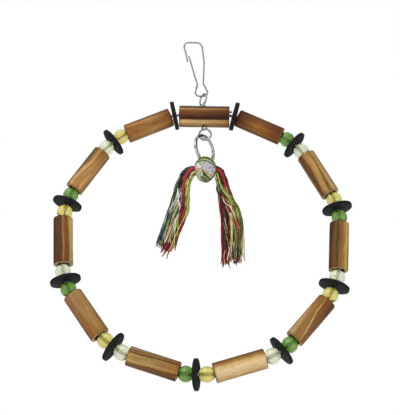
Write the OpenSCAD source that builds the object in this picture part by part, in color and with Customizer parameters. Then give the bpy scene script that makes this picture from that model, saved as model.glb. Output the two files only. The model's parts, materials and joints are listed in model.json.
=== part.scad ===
// A hanging bird swing. A snap hook carries a wire eye pin, and the pin passes through a wooden
// tube at the top of a wire hoop. The hoop is threaded with tubes, discs and beads, and a
// knotted rope with two loose tails hangs from the pin on a split ring.
// The origin is the inside top of the hook's bow, where it rests on its support.
// +Z is up and the front is seen along +Y. All sizes are in millimetres.

/* [Hoop] */
// Diameter of the hoop, centre to centre of its wire
hoop_d = 180; // [150:1:240]
// Thickness of the hoop's wire
hoop_wire_d = 1.8; // [1.4:0.1:2.2]
// How far the wire enters the top tube above the tube's axis
wire_rise = 1.1; // [0.8:0.1:1.6]
// Inner diameter of the eyes at the two ends of the wire
end_eye_d = 3.1; // [2.8:0.1:3.6]
// Distance that the wire's spare end stands out of the top tube
stub_out = 1.7; // [0.5:0.1:1.9]

/* [Top tube] */
// Length of the top tube
top_len = 34; // [28:0.5:44]
// Outer diameter of the top tube
top_d = 14.6; // [13:0.1:18]
// Bore of the top tube
top_bore = 10; // [9.6:0.1:11]
// Hole across the top tube for the eye pin
cross_hole_d = 3.4; // [3:0.1:4.4]

/* [Tubes] */
// Outer diameter of the ten lower tubes
tube_d = 12.4; // [11.4:0.1:15]
// Wall of the ten lower tubes
tube_wall = 2.35; // [1.7:0.05:2.5]
// How far the tubes sit outwards of the line between their two beads
tube_rise = 0.4; // [0:0.1:0.6]
// Largest sideways shift of a tipped tube's mouth
tip_shift = 0.9; // [0.2:0.1:1.2]
// Chamfer at the mouths of all tubes
mouth_chamfer = 0.4; // [0.2:0.1:0.8]

/* [Discs] */
// Diameter of the discs
disc_d = 19.6; // [13:0.1:26]
// Thickness of the discs
disc_t = 2.3; // [1.2:0.1:3.5]
// Hole in the discs
disc_hole_d = 3.2; // [2.8:0.1:4.5]
// Edge rounding of the discs, as a chamfer
disc_edge = 0.4; // [0.1:0.1:0.48]

/* [Beads] */
// Diameter of the beads
bead_d = 10; // [9:0.1:11.5]
// Hole in the beads
bead_hole_d = 2.6; // [2.4:0.1:3.6]
// Free play between a bead and the mouth of a tube
seat_play = 0.4; // [0.2:0.05:0.6]
// Free play between a bead and the disc beside it
bead_play = 0.15; // [0.1:0.05:0.6]
// Free play between a disc and the corner of a tube beside it
disc_play = 0.4; // [0.3:0.05:0.8]

/* [Hook] */
// Height of the hook over its wire
hook_len = 45.2; // [38:0.1:60]
// Width of the hook, centre to centre of its wire
hook_w = 17; // [15:0.1:22]
// Thickness of the hook's wire
hook_wire_d = 1.1; // [0.8:0.05:1.4]
// Bend radius of the bow's nose
nose_r = 3.9; // [3:0.1:4.4]
// Bend radius between the bow and the spine
bow_r = 4.6; // [3.4:0.1:5.2]
// Bend radius of the bulb at the bottom
bulb_r = 3; // [2.4:0.1:3.2]
// Gap between the hook's wire and the root of its gate
gate_gap = 0.3; // [0.25:0.05:0.5]

/* [Eye pin] */
// Thickness of the pin's wire
pin_wire_d = 1.2; // [0.9:0.05:1.3]
// Outer diameter of the pin's two eyes
eye_d = 9.2; // [8.4:0.1:11]
// Turn of the upper eye out of the hoop's plane
eye_turn = 55; // [35:1:70]
// Sideways offset of the upper eye from the pin's axis
upper_shift = 1.2; // [0.6:0.1:1.4]
// Sideways offset of the lower eye from the pin's axis
lower_shift = 0.8; // [0:0.1:1.2]
// Height of the neck between the upper eye and the top tube
upper_neck = 1.6; // [1.2:0.1:4]
// Height of the neck between the top tube and the lower eye
lower_neck = 1.9; // [1.4:0.1:4]
// Clearance between the pin's upper eye and the hook's wire
link_play = 0.2; // [0.1:0.05:0.4]

/* [Split ring] */
// Outer diameter of the split ring
ring_d = 21; // [18:0.1:30]
// Height of the split ring's band
ring_band = 1.8; // [1.4:0.1:2.4]
// Width of the split ring over its two turns
ring_w = 1.6; // [1.2:0.1:1.8]
// Depth of the groove between the two turns
ring_groove = 0.15; // [0.05:0.05:0.3]
// Turn of the ring out of the hoop's plane
ring_turn = 53; // [50:1:70]
// Height of the ring's inside over the lower eye's wire
ring_lift = 0.8; // [0.7:0.05:1.2]

/* [Rope] */
// Width of the knot
knot_d = 13.5; // [12:0.1:16]
// Height of the knot
knot_h = 18.4; // [16:0.1:24]
// Depth that the knot reaches over the ring's lowest point
knot_over = 2.25; // [1:0.05:4]
// Clearance between the ring and the rope round it
rope_play = 0.1; // [0.05:0.05:0.3]
// Width of a rope tail at its root
tail_d = 11.5; // [9:0.1:13]
// Clearance between a tail's root and the knot
tail_play = 0.3; // [0.2:0.05:0.5]

/* [Hidden] */
$fn = 48;

// Overrun of every cut past the face it leaves
cut = 0.5;

// Wires: thickness of the straight legs beside the bends, of the pin's shank and of a kink,
// and how far a leg reaches into a bend, as shares of the wire's thickness
leg_share = 0.98;
shank_share = 0.96;
kink_share = 1.06;
leg_lap_share = 0.15;

// Hook: outline of its centre line, as shares of its width and of its centre line's height.
// It runs from the nib over the bow, down the spine and round the bulb to the waist.
hook_h = hook_len - hook_wire_d;
hook_path_shares = [
    [-0.16, -0.37], [-0.24, -0.215], [-0.39, 0], [0.395, 0], [0.52, -0.37],
    [0.52, -0.775], [0.81, -1], [0.16, -1], [0.288, -0.788]
];
gate_path_shares = [[0.288, -0.788], [0.18, -0.665], [-0.115, -0.26]];
hook_bends = [0, 5 * hook_wire_d, nose_r, bow_r, 18 * hook_wire_d, 2 * hook_wire_d, bulb_r, bulb_r, 0];
gate_bends = [0, 9 * hook_wire_d, 0];
hook_path = [for (s = hook_path_shares) [s[0] * hook_w, s[1] * hook_h + hook_wire_d / 2]];
gate_path = [for (s = gate_path_shares) [s[0] * hook_w, s[1] * hook_h + hook_wire_d / 2]];
bulb_z = hook_wire_d / 2 - hook_h;

// Eye pin: its axis, its eyes and its necks, from the hook's bulb downwards
pin_x_share = 0.606;
pin_x = pin_x_share * hook_w;
eye_r = (eye_d - pin_wire_d) / 2;
strand_share = 0.46;
strand_x = strand_share * pin_wire_d;
upper_eye_z = bulb_z + hook_wire_d / 2 + link_play + pin_wire_d / 2 - eye_r;
top_z = upper_eye_z - eye_d / 2 - upper_neck - top_d / 2;
lower_eye_z = top_z - top_d / 2 - lower_neck - eye_d / 2;
pin_top = top_z + top_d / 2;
pin_bottom = top_z - top_d / 2;

// Hoop: the wire enters the top tube at its mouths, wire_rise above the tube's axis
hoop_r = hoop_d / 2;
mouth_r = sqrt(hoop_r * hoop_r - top_len * top_len / 4);
top_axis_r = mouth_r - wire_rise;
hoop_z = top_z - top_axis_r;
mouth_angle = asin(top_len / 2 / hoop_r);
end_eye_r = (end_eye_d + hoop_wire_d) / 2;
end_eye_step = hoop_wire_d + 0.1 * hoop_wire_d / 2;

// Angle of the first disc past the top tube's lower corner
corner_angle = atan2(top_len / 2, top_axis_r - top_d / 2);
corner_r = norm([top_len / 2, top_axis_r - top_d / 2]);
first_disc_angle = corner_angle + asin((disc_t / 2 + disc_play) / corner_r);

// The ten tubes have the one length at which tubes, beads and discs fill the rest of the hoop
tube_bore = tube_d - 2 * tube_wall;
mouth_reach = tube_bore / 2 + mouth_chamfer - tip_shift - tube_rise;
bead_out = sqrt(pow(bead_d / 2 + seat_play, 2) - mouth_reach * mouth_reach);
bead_step_angle = asin((bead_d / 2 + disc_t / 2 + bead_play) / hoop_r);
function axis_r(len) = sqrt(hoop_r * hoop_r - (len / 2 + bead_out) * (len / 2 + bead_out));
function bead_angle(len) = asin((len / 2 + bead_out) / hoop_r);
function end_angle(len) = atan2(len / 2, axis_r(len) + tube_rise - tube_d / 2);
function end_r(len) = norm([len / 2, axis_r(len) + tube_rise - tube_d / 2]);
function past_disc_angle(len) = asin((disc_t / 2 + disc_play) / end_r(len));
function filled(len) = first_disc_angle + past_disc_angle(len) + end_angle(len)
    + 9 * (bead_angle(len) + bead_step_angle);
function fill_len(lo, hi, steps) = steps == 0 ? (lo + hi) / 2
    : filled((lo + hi) / 2) > 180 ? fill_len(lo, (lo + hi) / 2, steps - 1)
    : fill_len((lo + hi) / 2, hi, steps - 1);
tube_len = fill_len(0, hoop_r, 40);
tube_axis_r = axis_r(tube_len) + tube_rise;
pitch_angle = 2 * (bead_angle(tube_len) + bead_step_angle);
first_tube_angle = 180 - 4.5 * pitch_angle;

// Small differences between the natural tubes: their thickness as shares of the tube's diameter,
// and how far each tips as shares of the largest shift. The discs tip, and turn out of square to
// the wire, by angles in degrees.
tube_shares = [1.05, 0.96, 1.02, 1.03, 0.99, 1, 0.99, 1, 0.98, 0.96];
tip_shares = [0, -0.3, 0.5, -0.5, 0.2, 0.2, -0.45, 0.3, -0.5, -0.1];
disc_tips = [0, 0, -2, -4, 0, 0, 6, 4, 0, 2, 0];
disc_turns = [-3, 0, 0, 0, 0, 9, 0, 0, 0, 0, 5];

// Split ring, hung in the lower eye
ring_inner_r = ring_d / 2 - ring_band;
ring_z = lower_eye_z - eye_r + pin_wire_d / 2 + ring_lift - ring_inner_r;
ring_x = pin_x + lower_shift;

// Knot: the outline from its top down, as shares of its radius and its height
knot_shares = [
    [0, 0], [0.42, -0.025], [0.72, -0.085], [0.92, -0.18], [1, -0.29], [1, -0.44],
    [0.97, -0.58], [0.93, -0.7], [0.8, -0.84], [0.55, -0.95], [0.28, -0.99], [0, -1]
];
knot_x_share = 0.07;
knot_x = ring_x + knot_x_share * knot_d;
knot_z = ring_z - ring_inner_r + knot_over;
knot_r = knot_d / 2;

// Rope tails: routes from the knot, with X and Z measured from the middle of their roots
root_side_share = 0.74;
root_drop_share = 0.61;
root_x = root_side_share * knot_d;
root_z = knot_z - root_drop_share * knot_h;
root_r_share = 0.38;
root_r = root_r_share * tail_d;
left_route = [[0, 1], [-2, -4], [-4, -11], [-5, -18], [-6, -26], [-9, -36], [-11, -45], [-13, -55]];
right_route = [[0, 1], [1, -5], [2, -12], [5, -20], [8, -30], [9, -40], [10, -50], [10, -62]];
left_width_shares = [0.7, 0.8, 0.93, 1.04, 1.18, 1.12, 1.04, 1];
left_depth_shares = [0.7, 0.78, 0.86, 0.9, 0.92, 0.9, 0.86, 0.76];
right_width_shares = [0.66, 0.7, 0.78, 0.92, 1.1, 1.22, 1.34, 1.38];
right_depth_shares = [0.66, 0.68, 0.74, 0.82, 0.86, 0.86, 0.8, 0.72];
tail_sides = 12;

// Unit direction of one leg of a path, and the signed turn at one of its corners
function leg_dir(path, i) = (path[i + 1] - path[i]) / norm(path[i + 1] - path[i]);
function turn_at(path, i) = atan2(
    leg_dir(path, i - 1)[0] * leg_dir(path, i)[1] - leg_dir(path, i - 1)[1] * leg_dir(path, i)[0],
    leg_dir(path, i - 1) * leg_dir(path, i)
);
function bend_cut(path, bends, i) = i == 0 || i == len(path) - 1 ? 0
    : bends[i] * tan(abs(turn_at(path, i)) / 2);

// A straight round rod between two points
module rod(from, to, d) {
    along = to - from;
    translate(from)
        rotate([0, acos(along[2] / norm(along)), atan2(along[1], along[0])])
            cylinder(h = norm(along), d = d);
}

// A wire bent in the XZ plane: a true arc at each corner, and straight legs that end inside the arcs
module bent_wire(path, bends, d) {
    rotate([90, 0, 0]) {
        for (i = [0 : len(path) - 2]) {
            dir = leg_dir(path, i);
            lap = leg_lap_share * d;
            from = path[i] + (bend_cut(path, bends, i) - (i > 0 ? lap : 0)) * dir;
            to = path[i + 1] - (bend_cut(path, bends, i + 1) - (i < len(path) - 2 ? lap : 0)) * dir;
            rod([from[0], from[1], 0], [to[0], to[1], 0], leg_share * d);
        }
        for (i = [1 : len(path) - 2]) {
            turn = turn_at(path, i);
            side = sign(turn);
            dir = leg_dir(path, i - 1);
            from = path[i] - bend_cut(path, bends, i) * dir;
            centre = from + bends[i] * side * [-dir[1], dir[0]];
            start = atan2(from[1] - centre[1], from[0] - centre[0]);
            translate([centre[0], centre[1], 0])
                rotate(turn < 0 ? start + turn : start)
                    rotate_extrude(angle = abs(turn))
                        translate([bends[i], 0])
                            circle(d = d);
        }
    }
}

// A closed ring of round wire, lying in the XY plane
module wire_ring(r, d) {
    rotate_extrude()
        translate([r, 0])
            circle(d = d);
}

// Puts its children on the hoop: X points outwards and Y runs along the wire, counterclockwise
module on_hoop(angle, r) {
    translate([pin_x, 0, hoop_z])
        rotate([90, 0, 0])
            rotate(angle)
                translate([r, 0, 0])
                    children();
}

// A tube along Y, with its bore chamfered at both mouths
module tube_body(len, d, bore) {
    rotate([90, 0, 0])
        rotate_extrude()
            polygon([
                [bore / 2, -len / 2 + mouth_chamfer],
                [bore / 2 + mouth_chamfer, -len / 2],
                [d / 2, -len / 2],
                [d / 2, len / 2],
                [bore / 2 + mouth_chamfer, len / 2],
                [bore / 2, len / 2 - mouth_chamfer]
            ]);
}

// The snap hook's spring wire, from the nib to the waist
module hook_wire() {
    last = len(hook_path) - 1;
    trimmed = [for (i = [0 : last]) i < last ? hook_path[i]
        : hook_path[i] - gate_gap / 2 * leg_dir(hook_path, last - 1)];
    color("silver")
        bent_wire(trimmed, hook_bends, hook_wire_d);
}

// The hook's gate leg, which springs inwards from the waist
module hook_gate() {
    trimmed = [for (i = [0 : len(gate_path) - 1]) i > 0 ? gate_path[i]
        : gate_path[i] + gate_gap / 2 * leg_dir(gate_path, 0)];
    color("silver")
        bent_wire(trimmed, gate_bends, hook_wire_d);
}

// The eye pin: an upper eye on the hook, two strands through the top tube, and a double lower eye
module eye_pin() {
    reach_share = 0.55;
    foot_share = 0.14;
    upper_kink = pin_top + upper_neck / 4;
    lower_kink = pin_bottom - lower_neck / 5;
    color("silver") {
        translate([pin_x - upper_shift, 0, upper_eye_z])
            rotate(-eye_turn)
                rotate([90, 0, 0])
                    wire_ring(eye_r, pin_wire_d);
        for (y = [-strand_x, strand_x])
            translate([pin_x + lower_shift, y, lower_eye_z])
                rotate([90, 0, 0])
                    wire_ring(eye_r, pin_wire_d);
        for (side = [-1, 1]) {
            upper_foot = [
                pin_x - upper_shift + side * reach_share * eye_r * cos(eye_turn),
                -side * reach_share * eye_r * sin(eye_turn),
                pin_top + upper_neck + foot_share * eye_d
            ];
            lower_foot = [
                pin_x + lower_shift + side * reach_share * eye_r,
                0,
                pin_bottom - lower_neck - foot_share * eye_d
            ];
            upper_start = [pin_x + side * strand_x, 0, upper_kink];
            lower_start = [pin_x + side * strand_x, 0, lower_kink];
            rod(lower_start, upper_start, shank_share * pin_wire_d);
            rod(upper_start, upper_foot, leg_share * pin_wire_d);
            rod(lower_start, lower_foot, leg_share * pin_wire_d);
            translate(upper_start)
                sphere(d = kink_share * pin_wire_d);
            translate(lower_start)
                sphere(d = kink_share * pin_wire_d);
        }
    }
}

// The hoop's wire: one long arc, with an eye round the pin at each end inside the top tube
module hoop_wire() {
    color("darkgray") {
        translate([pin_x, 0, hoop_z])
            rotate([90, 0, 0])
                rotate(90 + mouth_angle)
                    rotate_extrude(angle = 360 - 2 * mouth_angle)
                        translate([hoop_r, 0])
                            circle(d = hoop_wire_d);
        for (side = [-1, 1]) {
            eye_z = top_z + side * end_eye_step / 2;
            mouth = [pin_x + side * top_len / 2, 0, hoop_z + mouth_r];
            translate([pin_x, 0, eye_z])
                wire_ring(end_eye_r, hoop_wire_d);
            rod([pin_x + side * end_eye_r, 0, eye_z], mouth, leg_share * hoop_wire_d);
            translate(mouth)
                sphere(d = kink_share * hoop_wire_d);
        }
        rod(
            [pin_x + hoop_wire_d / 2, -end_eye_r, top_z + end_eye_step / 2],
            [pin_x + top_len / 2 + stub_out, -end_eye_r, top_z + 1.5 * hoop_wire_d],
            leg_share * hoop_wire_d
        );
    }
}

// The top tube, with a hole across it for the pin
module wood_tube_top() {
    color("saddlebrown")
        difference() {
            translate([pin_x, 0, top_z])
                rotate(90)
                    tube_body(top_len, top_d, top_bore);
            translate([pin_x, 0, pin_bottom - cut])
                cylinder(h = top_d + 2 * cut, d = cross_hole_d);
        }
}

// One of the ten tubes, numbered from the top tube's left
module wood_tube(k) {
    color("peru")
        on_hoop(90 + first_tube_angle + (k - 1) * pitch_angle, tube_axis_r)
            rotate(asin(tip_shares[k - 1] * tip_shift / (tube_len / 2)))
                tube_body(tube_len, tube_d * tube_shares[k - 1], tube_bore);
}

function disc_angle(k) = k == 1 ? 90 + first_disc_angle
    : k == 11 ? 90 - first_disc_angle
    : 90 + first_tube_angle + (k - 1.5) * pitch_angle;

// One of the eleven discs, numbered from the top tube's left
module disc(k) {
    color([0.12, 0.12, 0.13])
        on_hoop(disc_angle(k), hoop_r)
            rotate([disc_turns[k - 1], 0, disc_tips[k - 1]])
                rotate([90, 0, 0])
                    rotate_extrude()
                        polygon([
                            [disc_hole_d / 2, -disc_t / 2],
                            [disc_d / 2 - disc_edge, -disc_t / 2],
                            [disc_d / 2, -disc_t / 2 + disc_edge],
                            [disc_d / 2, disc_t / 2 - disc_edge],
                            [disc_d / 2 - disc_edge, disc_t / 2],
                            [disc_hole_d / 2, disc_t / 2]
                        ]);
}

// One of the eighteen beads, two at each disc between two tubes
module bead(k) {
    gap = ceil(k / 2);
    side = k % 2 == 1 ? -1 : 1;
    on_hoop(disc_angle(gap + 1) + side * bead_step_angle, hoop_r)
        rotate([90, 0, 0])
            difference() {
                sphere(d = bead_d);
                translate([0, 0, -bead_d / 2 - cut])
                    cylinder(h = bead_d + 2 * cut, d = bead_hole_d);
            }
}

module yellow_bead(k) {
    color([0.93, 0.75, 0.22, 0.85])
        bead(k);
}

module clear_bead(k) {
    color([0.85, 0.9, 0.62, 0.75])
        bead(k);
}

module green_bead(k) {
    color([0.25, 0.6, 0.25, 0.9])
        bead(k);
}

// The ring's two turns, drawn in one band with a groove between them, grown on all sides
module ring_band_turned(grow) {
    inner = ring_inner_r - grow;
    outer = ring_d / 2 + grow;
    half = ring_w / 2 + grow;
    groove = grow == 0 ? ring_groove : 0;
    translate([ring_x, 0, ring_z])
        rotate(ring_turn)
            rotate([90, 0, 0])
                rotate_extrude()
                    polygon([
                        [inner, -half], [outer, -half], [outer, -groove],
                        [outer - groove, 0], [outer, groove], [outer, half],
                        [inner, half], [inner, groove], [inner + groove, 0], [inner, -groove]
                    ]);
}

module split_ring() {
    color("gainsboro")
        ring_band_turned(0);
}

// The rope's knot round the ring, hollowed at its sides for the roots of the tails
module rope_knot() {
    color("khaki")
        difference() {
            translate([knot_x, 0, knot_z])
                rotate_extrude()
                    polygon([for (s = knot_shares) [s[0] * knot_r, s[1] * knot_h]]);
            ring_band_turned(rope_play);
            for (side = [-1, 1])
                translate([knot_x + side * root_x, 0, root_z])
                    sphere(r = root_r + tail_play);
        }
}

// Directions along a tail's route, and one ring of points round each of its points
function route_dir(route, i) =
    let (a = route[max(i - 1, 0)], b = route[min(i + 1, len(route) - 1)])
    (b - a) / norm(b - a);
function tail_ring(route, widths, depths, i) = [
    for (j = [0 : tail_sides - 1])
        let (
            dir = route_dir(route, i),
            out = widths[i] * tail_d / 2 * cos(360 * j / tail_sides),
            back = depths[i] * tail_d / 2 * sin(360 * j / tail_sides)
        )
        [route[i][0] - dir[1] * out, back, route[i][1] + dir[0] * out]
];

// A closed tube through the rings, with its two ends capped
module tail_tube(route, widths, depths) {
    n = len(route);
    points = [for (i = [0 : n - 1]) each tail_ring(route, widths, depths, i)];
    walls = [
        for (i = [0 : n - 2])
            for (j = [0 : tail_sides - 1])
                let (a = i * tail_sides + j, b = i * tail_sides + (j + 1) % tail_sides)
                each [[a, b, b + tail_sides], [a, b + tail_sides, a + tail_sides]]
    ];
    caps = [
        for (j = [1 : tail_sides - 2])
            each [
                [0, j + 1, j],
                [(n - 1) * tail_sides, (n - 1) * tail_sides + j, (n - 1) * tail_sides + j + 1]
            ]
    ];
    polyhedron(points = points, faces = concat(walls, caps), convexity = 4);
}

module rope_tail_left() {
    color("firebrick")
        translate([knot_x - root_x, 0, root_z]) {
            sphere(r = root_r);
            tail_tube(left_route, left_width_shares, left_depth_shares);
        }
}

module rope_tail_right() {
    color("darkslateblue")
        translate([knot_x + root_x, 0, root_z]) {
            sphere(r = root_r);
            tail_tube(right_route, right_width_shares, right_depth_shares);
        }
}

hook_wire();
hook_gate();
eye_pin();
hoop_wire();
wood_tube_top();
wood_tube(1);  // wood_tube_01
wood_tube(2);  // wood_tube_02
wood_tube(3);  // wood_tube_03
wood_tube(4);  // wood_tube_04
wood_tube(5);  // wood_tube_05
wood_tube(6);  // wood_tube_06
wood_tube(7);  // wood_tube_07
wood_tube(8);  // wood_tube_08
wood_tube(9);  // wood_tube_09
wood_tube(10);  // wood_tube_10
disc(1);  // disc_01
disc(2);  // disc_02
disc(3);  // disc_03
disc(4);  // disc_04
disc(5);  // disc_05
disc(6);  // disc_06
disc(7);  // disc_07
disc(8);  // disc_08
disc(9);  // disc_09
disc(10);  // disc_10
disc(11);  // disc_11
yellow_bead(1);  // bead_01_yellow
clear_bead(2);  // bead_02_clear
green_bead(3);  // bead_03_green
yellow_bead(4);  // bead_04_yellow
clear_bead(5);  // bead_05_clear
green_bead(6);  // bead_06_green
yellow_bead(7);  // bead_07_yellow
clear_bead(8);  // bead_08_clear
green_bead(9);  // bead_09_green
yellow_bead(10);  // bead_10_yellow
clear_bead(11);  // bead_11_clear
green_bead(12);  // bead_12_green
yellow_bead(13);  // bead_13_yellow
clear_bead(14);  // bead_14_clear
green_bead(15);  // bead_15_green
yellow_bead(16);  // bead_16_yellow
clear_bead(17);  // bead_17_clear
green_bead(18);  // bead_18_green
split_ring();
rope_knot();
rope_tail_left();
rope_tail_right();
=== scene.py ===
import json
import math
import random

import bmesh
import bpy
from mathutils import Matrix, Vector, noise


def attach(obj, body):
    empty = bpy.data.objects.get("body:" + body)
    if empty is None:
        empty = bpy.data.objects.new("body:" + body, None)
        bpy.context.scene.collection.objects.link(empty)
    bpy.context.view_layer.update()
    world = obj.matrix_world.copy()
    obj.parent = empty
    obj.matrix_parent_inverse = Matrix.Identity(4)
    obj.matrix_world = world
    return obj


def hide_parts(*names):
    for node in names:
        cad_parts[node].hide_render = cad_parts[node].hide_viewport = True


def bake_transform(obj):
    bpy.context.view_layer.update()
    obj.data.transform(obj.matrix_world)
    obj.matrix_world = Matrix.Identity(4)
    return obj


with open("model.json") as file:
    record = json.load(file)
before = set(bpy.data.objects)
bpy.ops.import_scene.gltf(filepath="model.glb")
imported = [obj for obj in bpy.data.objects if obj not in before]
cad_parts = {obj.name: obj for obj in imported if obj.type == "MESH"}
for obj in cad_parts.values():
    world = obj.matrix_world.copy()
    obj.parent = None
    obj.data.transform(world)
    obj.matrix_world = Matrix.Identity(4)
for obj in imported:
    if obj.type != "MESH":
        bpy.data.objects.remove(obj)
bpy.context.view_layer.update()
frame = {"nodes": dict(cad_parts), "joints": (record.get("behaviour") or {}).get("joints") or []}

# Bird swing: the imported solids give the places, and each piece here is drawn over its own solid.
mm = 0.001
joints = {joint["name"]: joint for joint in frame["joints"]}
rightward, upward = Vector((1, 0, 0)), Vector((0, 0, 1))

# camera

view = {
    "place": (0.02668, -0.51557, -0.35937),  # metres
    "azimuth": 1.93,  # degrees
    "elevation": -24.20,
    "roll": 1.84,
    "lens": 75.61,  # mm
    "sensor": 36,
    "nearest": 0.01,  # metres
}


def turnedView():
    azimuth, elevation, roll = (math.radians(view[k]) for k in ("azimuth", "elevation", "roll"))
    back = Vector((math.sin(azimuth) * math.cos(elevation), -math.cos(azimuth) * math.cos(elevation),
                   math.sin(elevation)))
    level = Vector((math.cos(azimuth), math.sin(azimuth), 0.0))
    upright = back.cross(level)
    right = math.cos(roll) * level + math.sin(roll) * upright
    up = math.cos(roll) * upright - math.sin(roll) * level
    return Matrix((right, up, back)).transposed().to_4x4()


cameraData = bpy.data.cameras.new("camera")
cameraData.lens = view["lens"]
cameraData.sensor_width = view["sensor"]
cameraData.clip_start = view["nearest"]
camera = bpy.data.objects.new("camera", cameraData)
camera.matrix_world = Matrix.Translation(view["place"]) @ turnedView()
bpy.context.scene.collection.objects.link(camera)
bpy.context.scene.camera = camera
print("camera placed")


# places, paths and meshes

def point(x, y, z):
    return Vector((x, y, z)) * mm


def addPiece(name, bm, materials, smooth=True):
    mesh = bpy.data.meshes.new(name)
    bm.normal_update()
    bm.to_mesh(mesh)
    bm.free()
    piece = bpy.data.objects.new(name, mesh)
    bpy.context.scene.collection.objects.link(piece)
    for material in materials:
        mesh.materials.append(material)
    if smooth:
        mesh.polygons.foreach_set("use_smooth", [True] * len(mesh.polygons))
    return piece


def roundedPath(corners, bends, steps=10, mostOfRun=0.48):
    # corners joined by straight runs, with a smooth bend of about the given radius (mm) at each one
    path = [corners[0].copy()]
    for corner, last, following, bend in zip(corners[1:], corners, corners[2:], bends[1:]):
        bend *= mm
        backwards, onwards = last - corner, following - corner
        before, after = backwards.normalized(), onwards.normalized()
        turn = math.pi - before.angle(after)
        reach = min(bend * math.tan(turn / 2), mostOfRun * backwards.length, mostOfRun * onwards.length)
        start, end = corner + before * reach, corner + after * reach
        swing = 4 / 3 * math.tan(turn / 4) * bend
        first, second = start - before * swing, end - after * swing
        for s in range(steps + 1):
            t = s / steps
            path.append(start * (1 - t) ** 3 + first * 3 * t * (1 - t) ** 2
                        + second * 3 * t * t * (1 - t) + end * t ** 3)
    path.append(corners[-1].copy())
    return path


def arcPath(centre, across, upwards, radius, start, end, steps):
    # part of a circle in the plane of two directions, angles in degrees from the first one
    path = []
    for s in range(steps + 1):
        angle = math.radians(start + (end - start) * s / steps)
        path.append(centre + across * math.cos(angle) * radius + upwards * math.sin(angle) * radius)
    return path


def sweep(path, radii, sides, pole=None, section=None):
    # a solid drawn by extruding its first ring along the path; pole keeps a flat section upright
    bm = bmesh.new()
    count = len(path)
    tangents = [(path[min(i + 1, count - 1)] - path[max(i - 1, 0)]).normalized() for i in range(count)]
    side = pole.cross(tangents[0]).normalized() if pole else tangents[0].orthogonal().normalized()
    places = []
    for centre, tangent in zip(path, tangents):
        if pole:
            side = pole.cross(tangent).normalized()
        else:
            side = (side - tangent * side.dot(tangent)).normalized()
        places.append(Matrix((side, tangent.cross(side), tangent)).transposed().to_4x4())
        places[-1].translation = centre
    ring = bmesh.ops.create_circle(bm, cap_ends=False, radius=1.0, segments=sides)["verts"]
    if section:  # a square ring, scaled to the section's width and height
        bmesh.ops.rotate(bm, verts=ring, cent=(0, 0, 0), matrix=Matrix.Rotation(math.pi / 4, 3, "Z"))
        bmesh.ops.scale(bm, verts=ring, vec=(section[0] / math.sqrt(2), section[1] / math.sqrt(2), 1))
    bmesh.ops.transform(bm, matrix=places[0] @ Matrix.Scale(radii[0], 4), verts=ring)
    edges = list(bm.edges)
    firstEdges = edges
    for i in range(1, count):
        grown = bmesh.ops.extrude_edge_only(bm, edges=edges)["geom"]
        ring = [g for g in grown if isinstance(g, bmesh.types.BMVert)]
        edges = [g for g in grown if isinstance(g, bmesh.types.BMEdge)]
        step = places[i] @ Matrix.Scale(radii[i] / radii[i - 1], 4) @ places[i - 1].inverted()
        bmesh.ops.transform(bm, matrix=step, verts=ring)
    bmesh.ops.contextual_create(bm, geom=firstEdges)
    bmesh.ops.contextual_create(bm, geom=edges)
    bmesh.ops.recalc_face_normals(bm, faces=bm.faces)
    return bm


def smoothed(path, rounds):
    # cuts every corner of a path, keeping its two ends
    for _ in range(rounds):
        made = [path[0]]
        for a, b in zip(path, path[1:]):
            made += [a.lerp(b, 0.25), a.lerp(b, 0.75)]
        path = made + [path[-1]]
    return path


def mix(values, t):
    # a value along a list of (place, value) pairs
    for (t0, v0), (t1, v1) in zip(values, values[1:]):
        if t <= t1:
            k = (t - t0) / (t1 - t0) if t1 > t0 else 0
            k = k * k * (3 - 2 * k)
            return v0 + (v1 - v0) * max(0.0, k)
    return values[-1][1]


def spun(outline, steps):
    # an outline of (radius, height) in mm, turned once round the upright axis
    bm = bmesh.new()
    verts = [bm.verts.new((r * mm, 0, z * mm)) for r, z in outline]
    edges = [bm.edges.new((a, b)) for a, b in zip(verts, verts[1:] + verts[:1])]
    bmesh.ops.spin(bm, geom=verts + edges, cent=(0, 0, 0), axis=upward, angle=2 * math.pi, steps=steps,
                   use_merge=True)
    bmesh.ops.remove_doubles(bm, verts=bm.verts, dist=1e-7)
    return bm


cornerCut = 0.3  # how far an edge's middle point is cut back, as a share of its rounding


def softEdge(outer, half, edge):
    # three points of an outline that round its lower outer edge
    cut = cornerCut * edge
    return [(outer - edge, -half), (outer - cut, cut - half), (outer, edge - half)]


def upsideDown(outline):
    return [(r, -z) for r, z in reversed(outline)]


def along(axis):
    # turns the upright axis to this one
    return axis.to_track_quat("Z", "Y").to_matrix().to_4x4()


def addTurned(name, bm, centre, turned, materials):
    # a spun mesh, turned and set on its place
    bmesh.ops.transform(bm, matrix=Matrix.Translation(centre) @ turned, verts=bm.verts)
    bmesh.ops.recalc_face_normals(bm, faces=bm.faces)
    return addPiece(name, bm, materials)


def threadedAt(name):
    # where a threaded piece sits, and the way that its wire runs there
    joint = joints["spin_" + name]
    return Vector(joint["pos_m"]), Vector(joint["axis"]).normalized()


# shader nodes, and the two shared effects as node groups

def hexColour(text):
    channels = [int(text[i:i + 2], 16) / 255 for i in (0, 2, 4)]
    return [c / 12.92 if c <= 0.04045 else ((c + 0.055) / 1.055) ** 2.4 for c in channels] + [1.0]


def feed(tree, target, sources):
    # links or sets sockets of a node
    for name, source in sources.items():
        if isinstance(source, bpy.types.NodeSocket):
            tree.links.new(source, target.inputs[name])
        else:
            target.inputs[name].default_value = source


def node(tree, kind, sources=None, **settings):
    made = tree.nodes.new("ShaderNode" + kind)
    for name, value in settings.items():
        setattr(made, name, value)
    feed(tree, made, sources or {})
    return made


def maths(tree, operation, *values):
    return node(tree, "Math", dict(enumerate(values)), operation=operation).outputs[0]


def ranged(tree, value, low, high, lowTo=0.0, highTo=1.0, kind="LINEAR"):
    return node(tree, "MapRange", {"Value": value, "From Min": low, "From Max": high, "To Min": lowTo,
                                   "To Max": highTo}, interpolation_type=kind).outputs[0]


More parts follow.
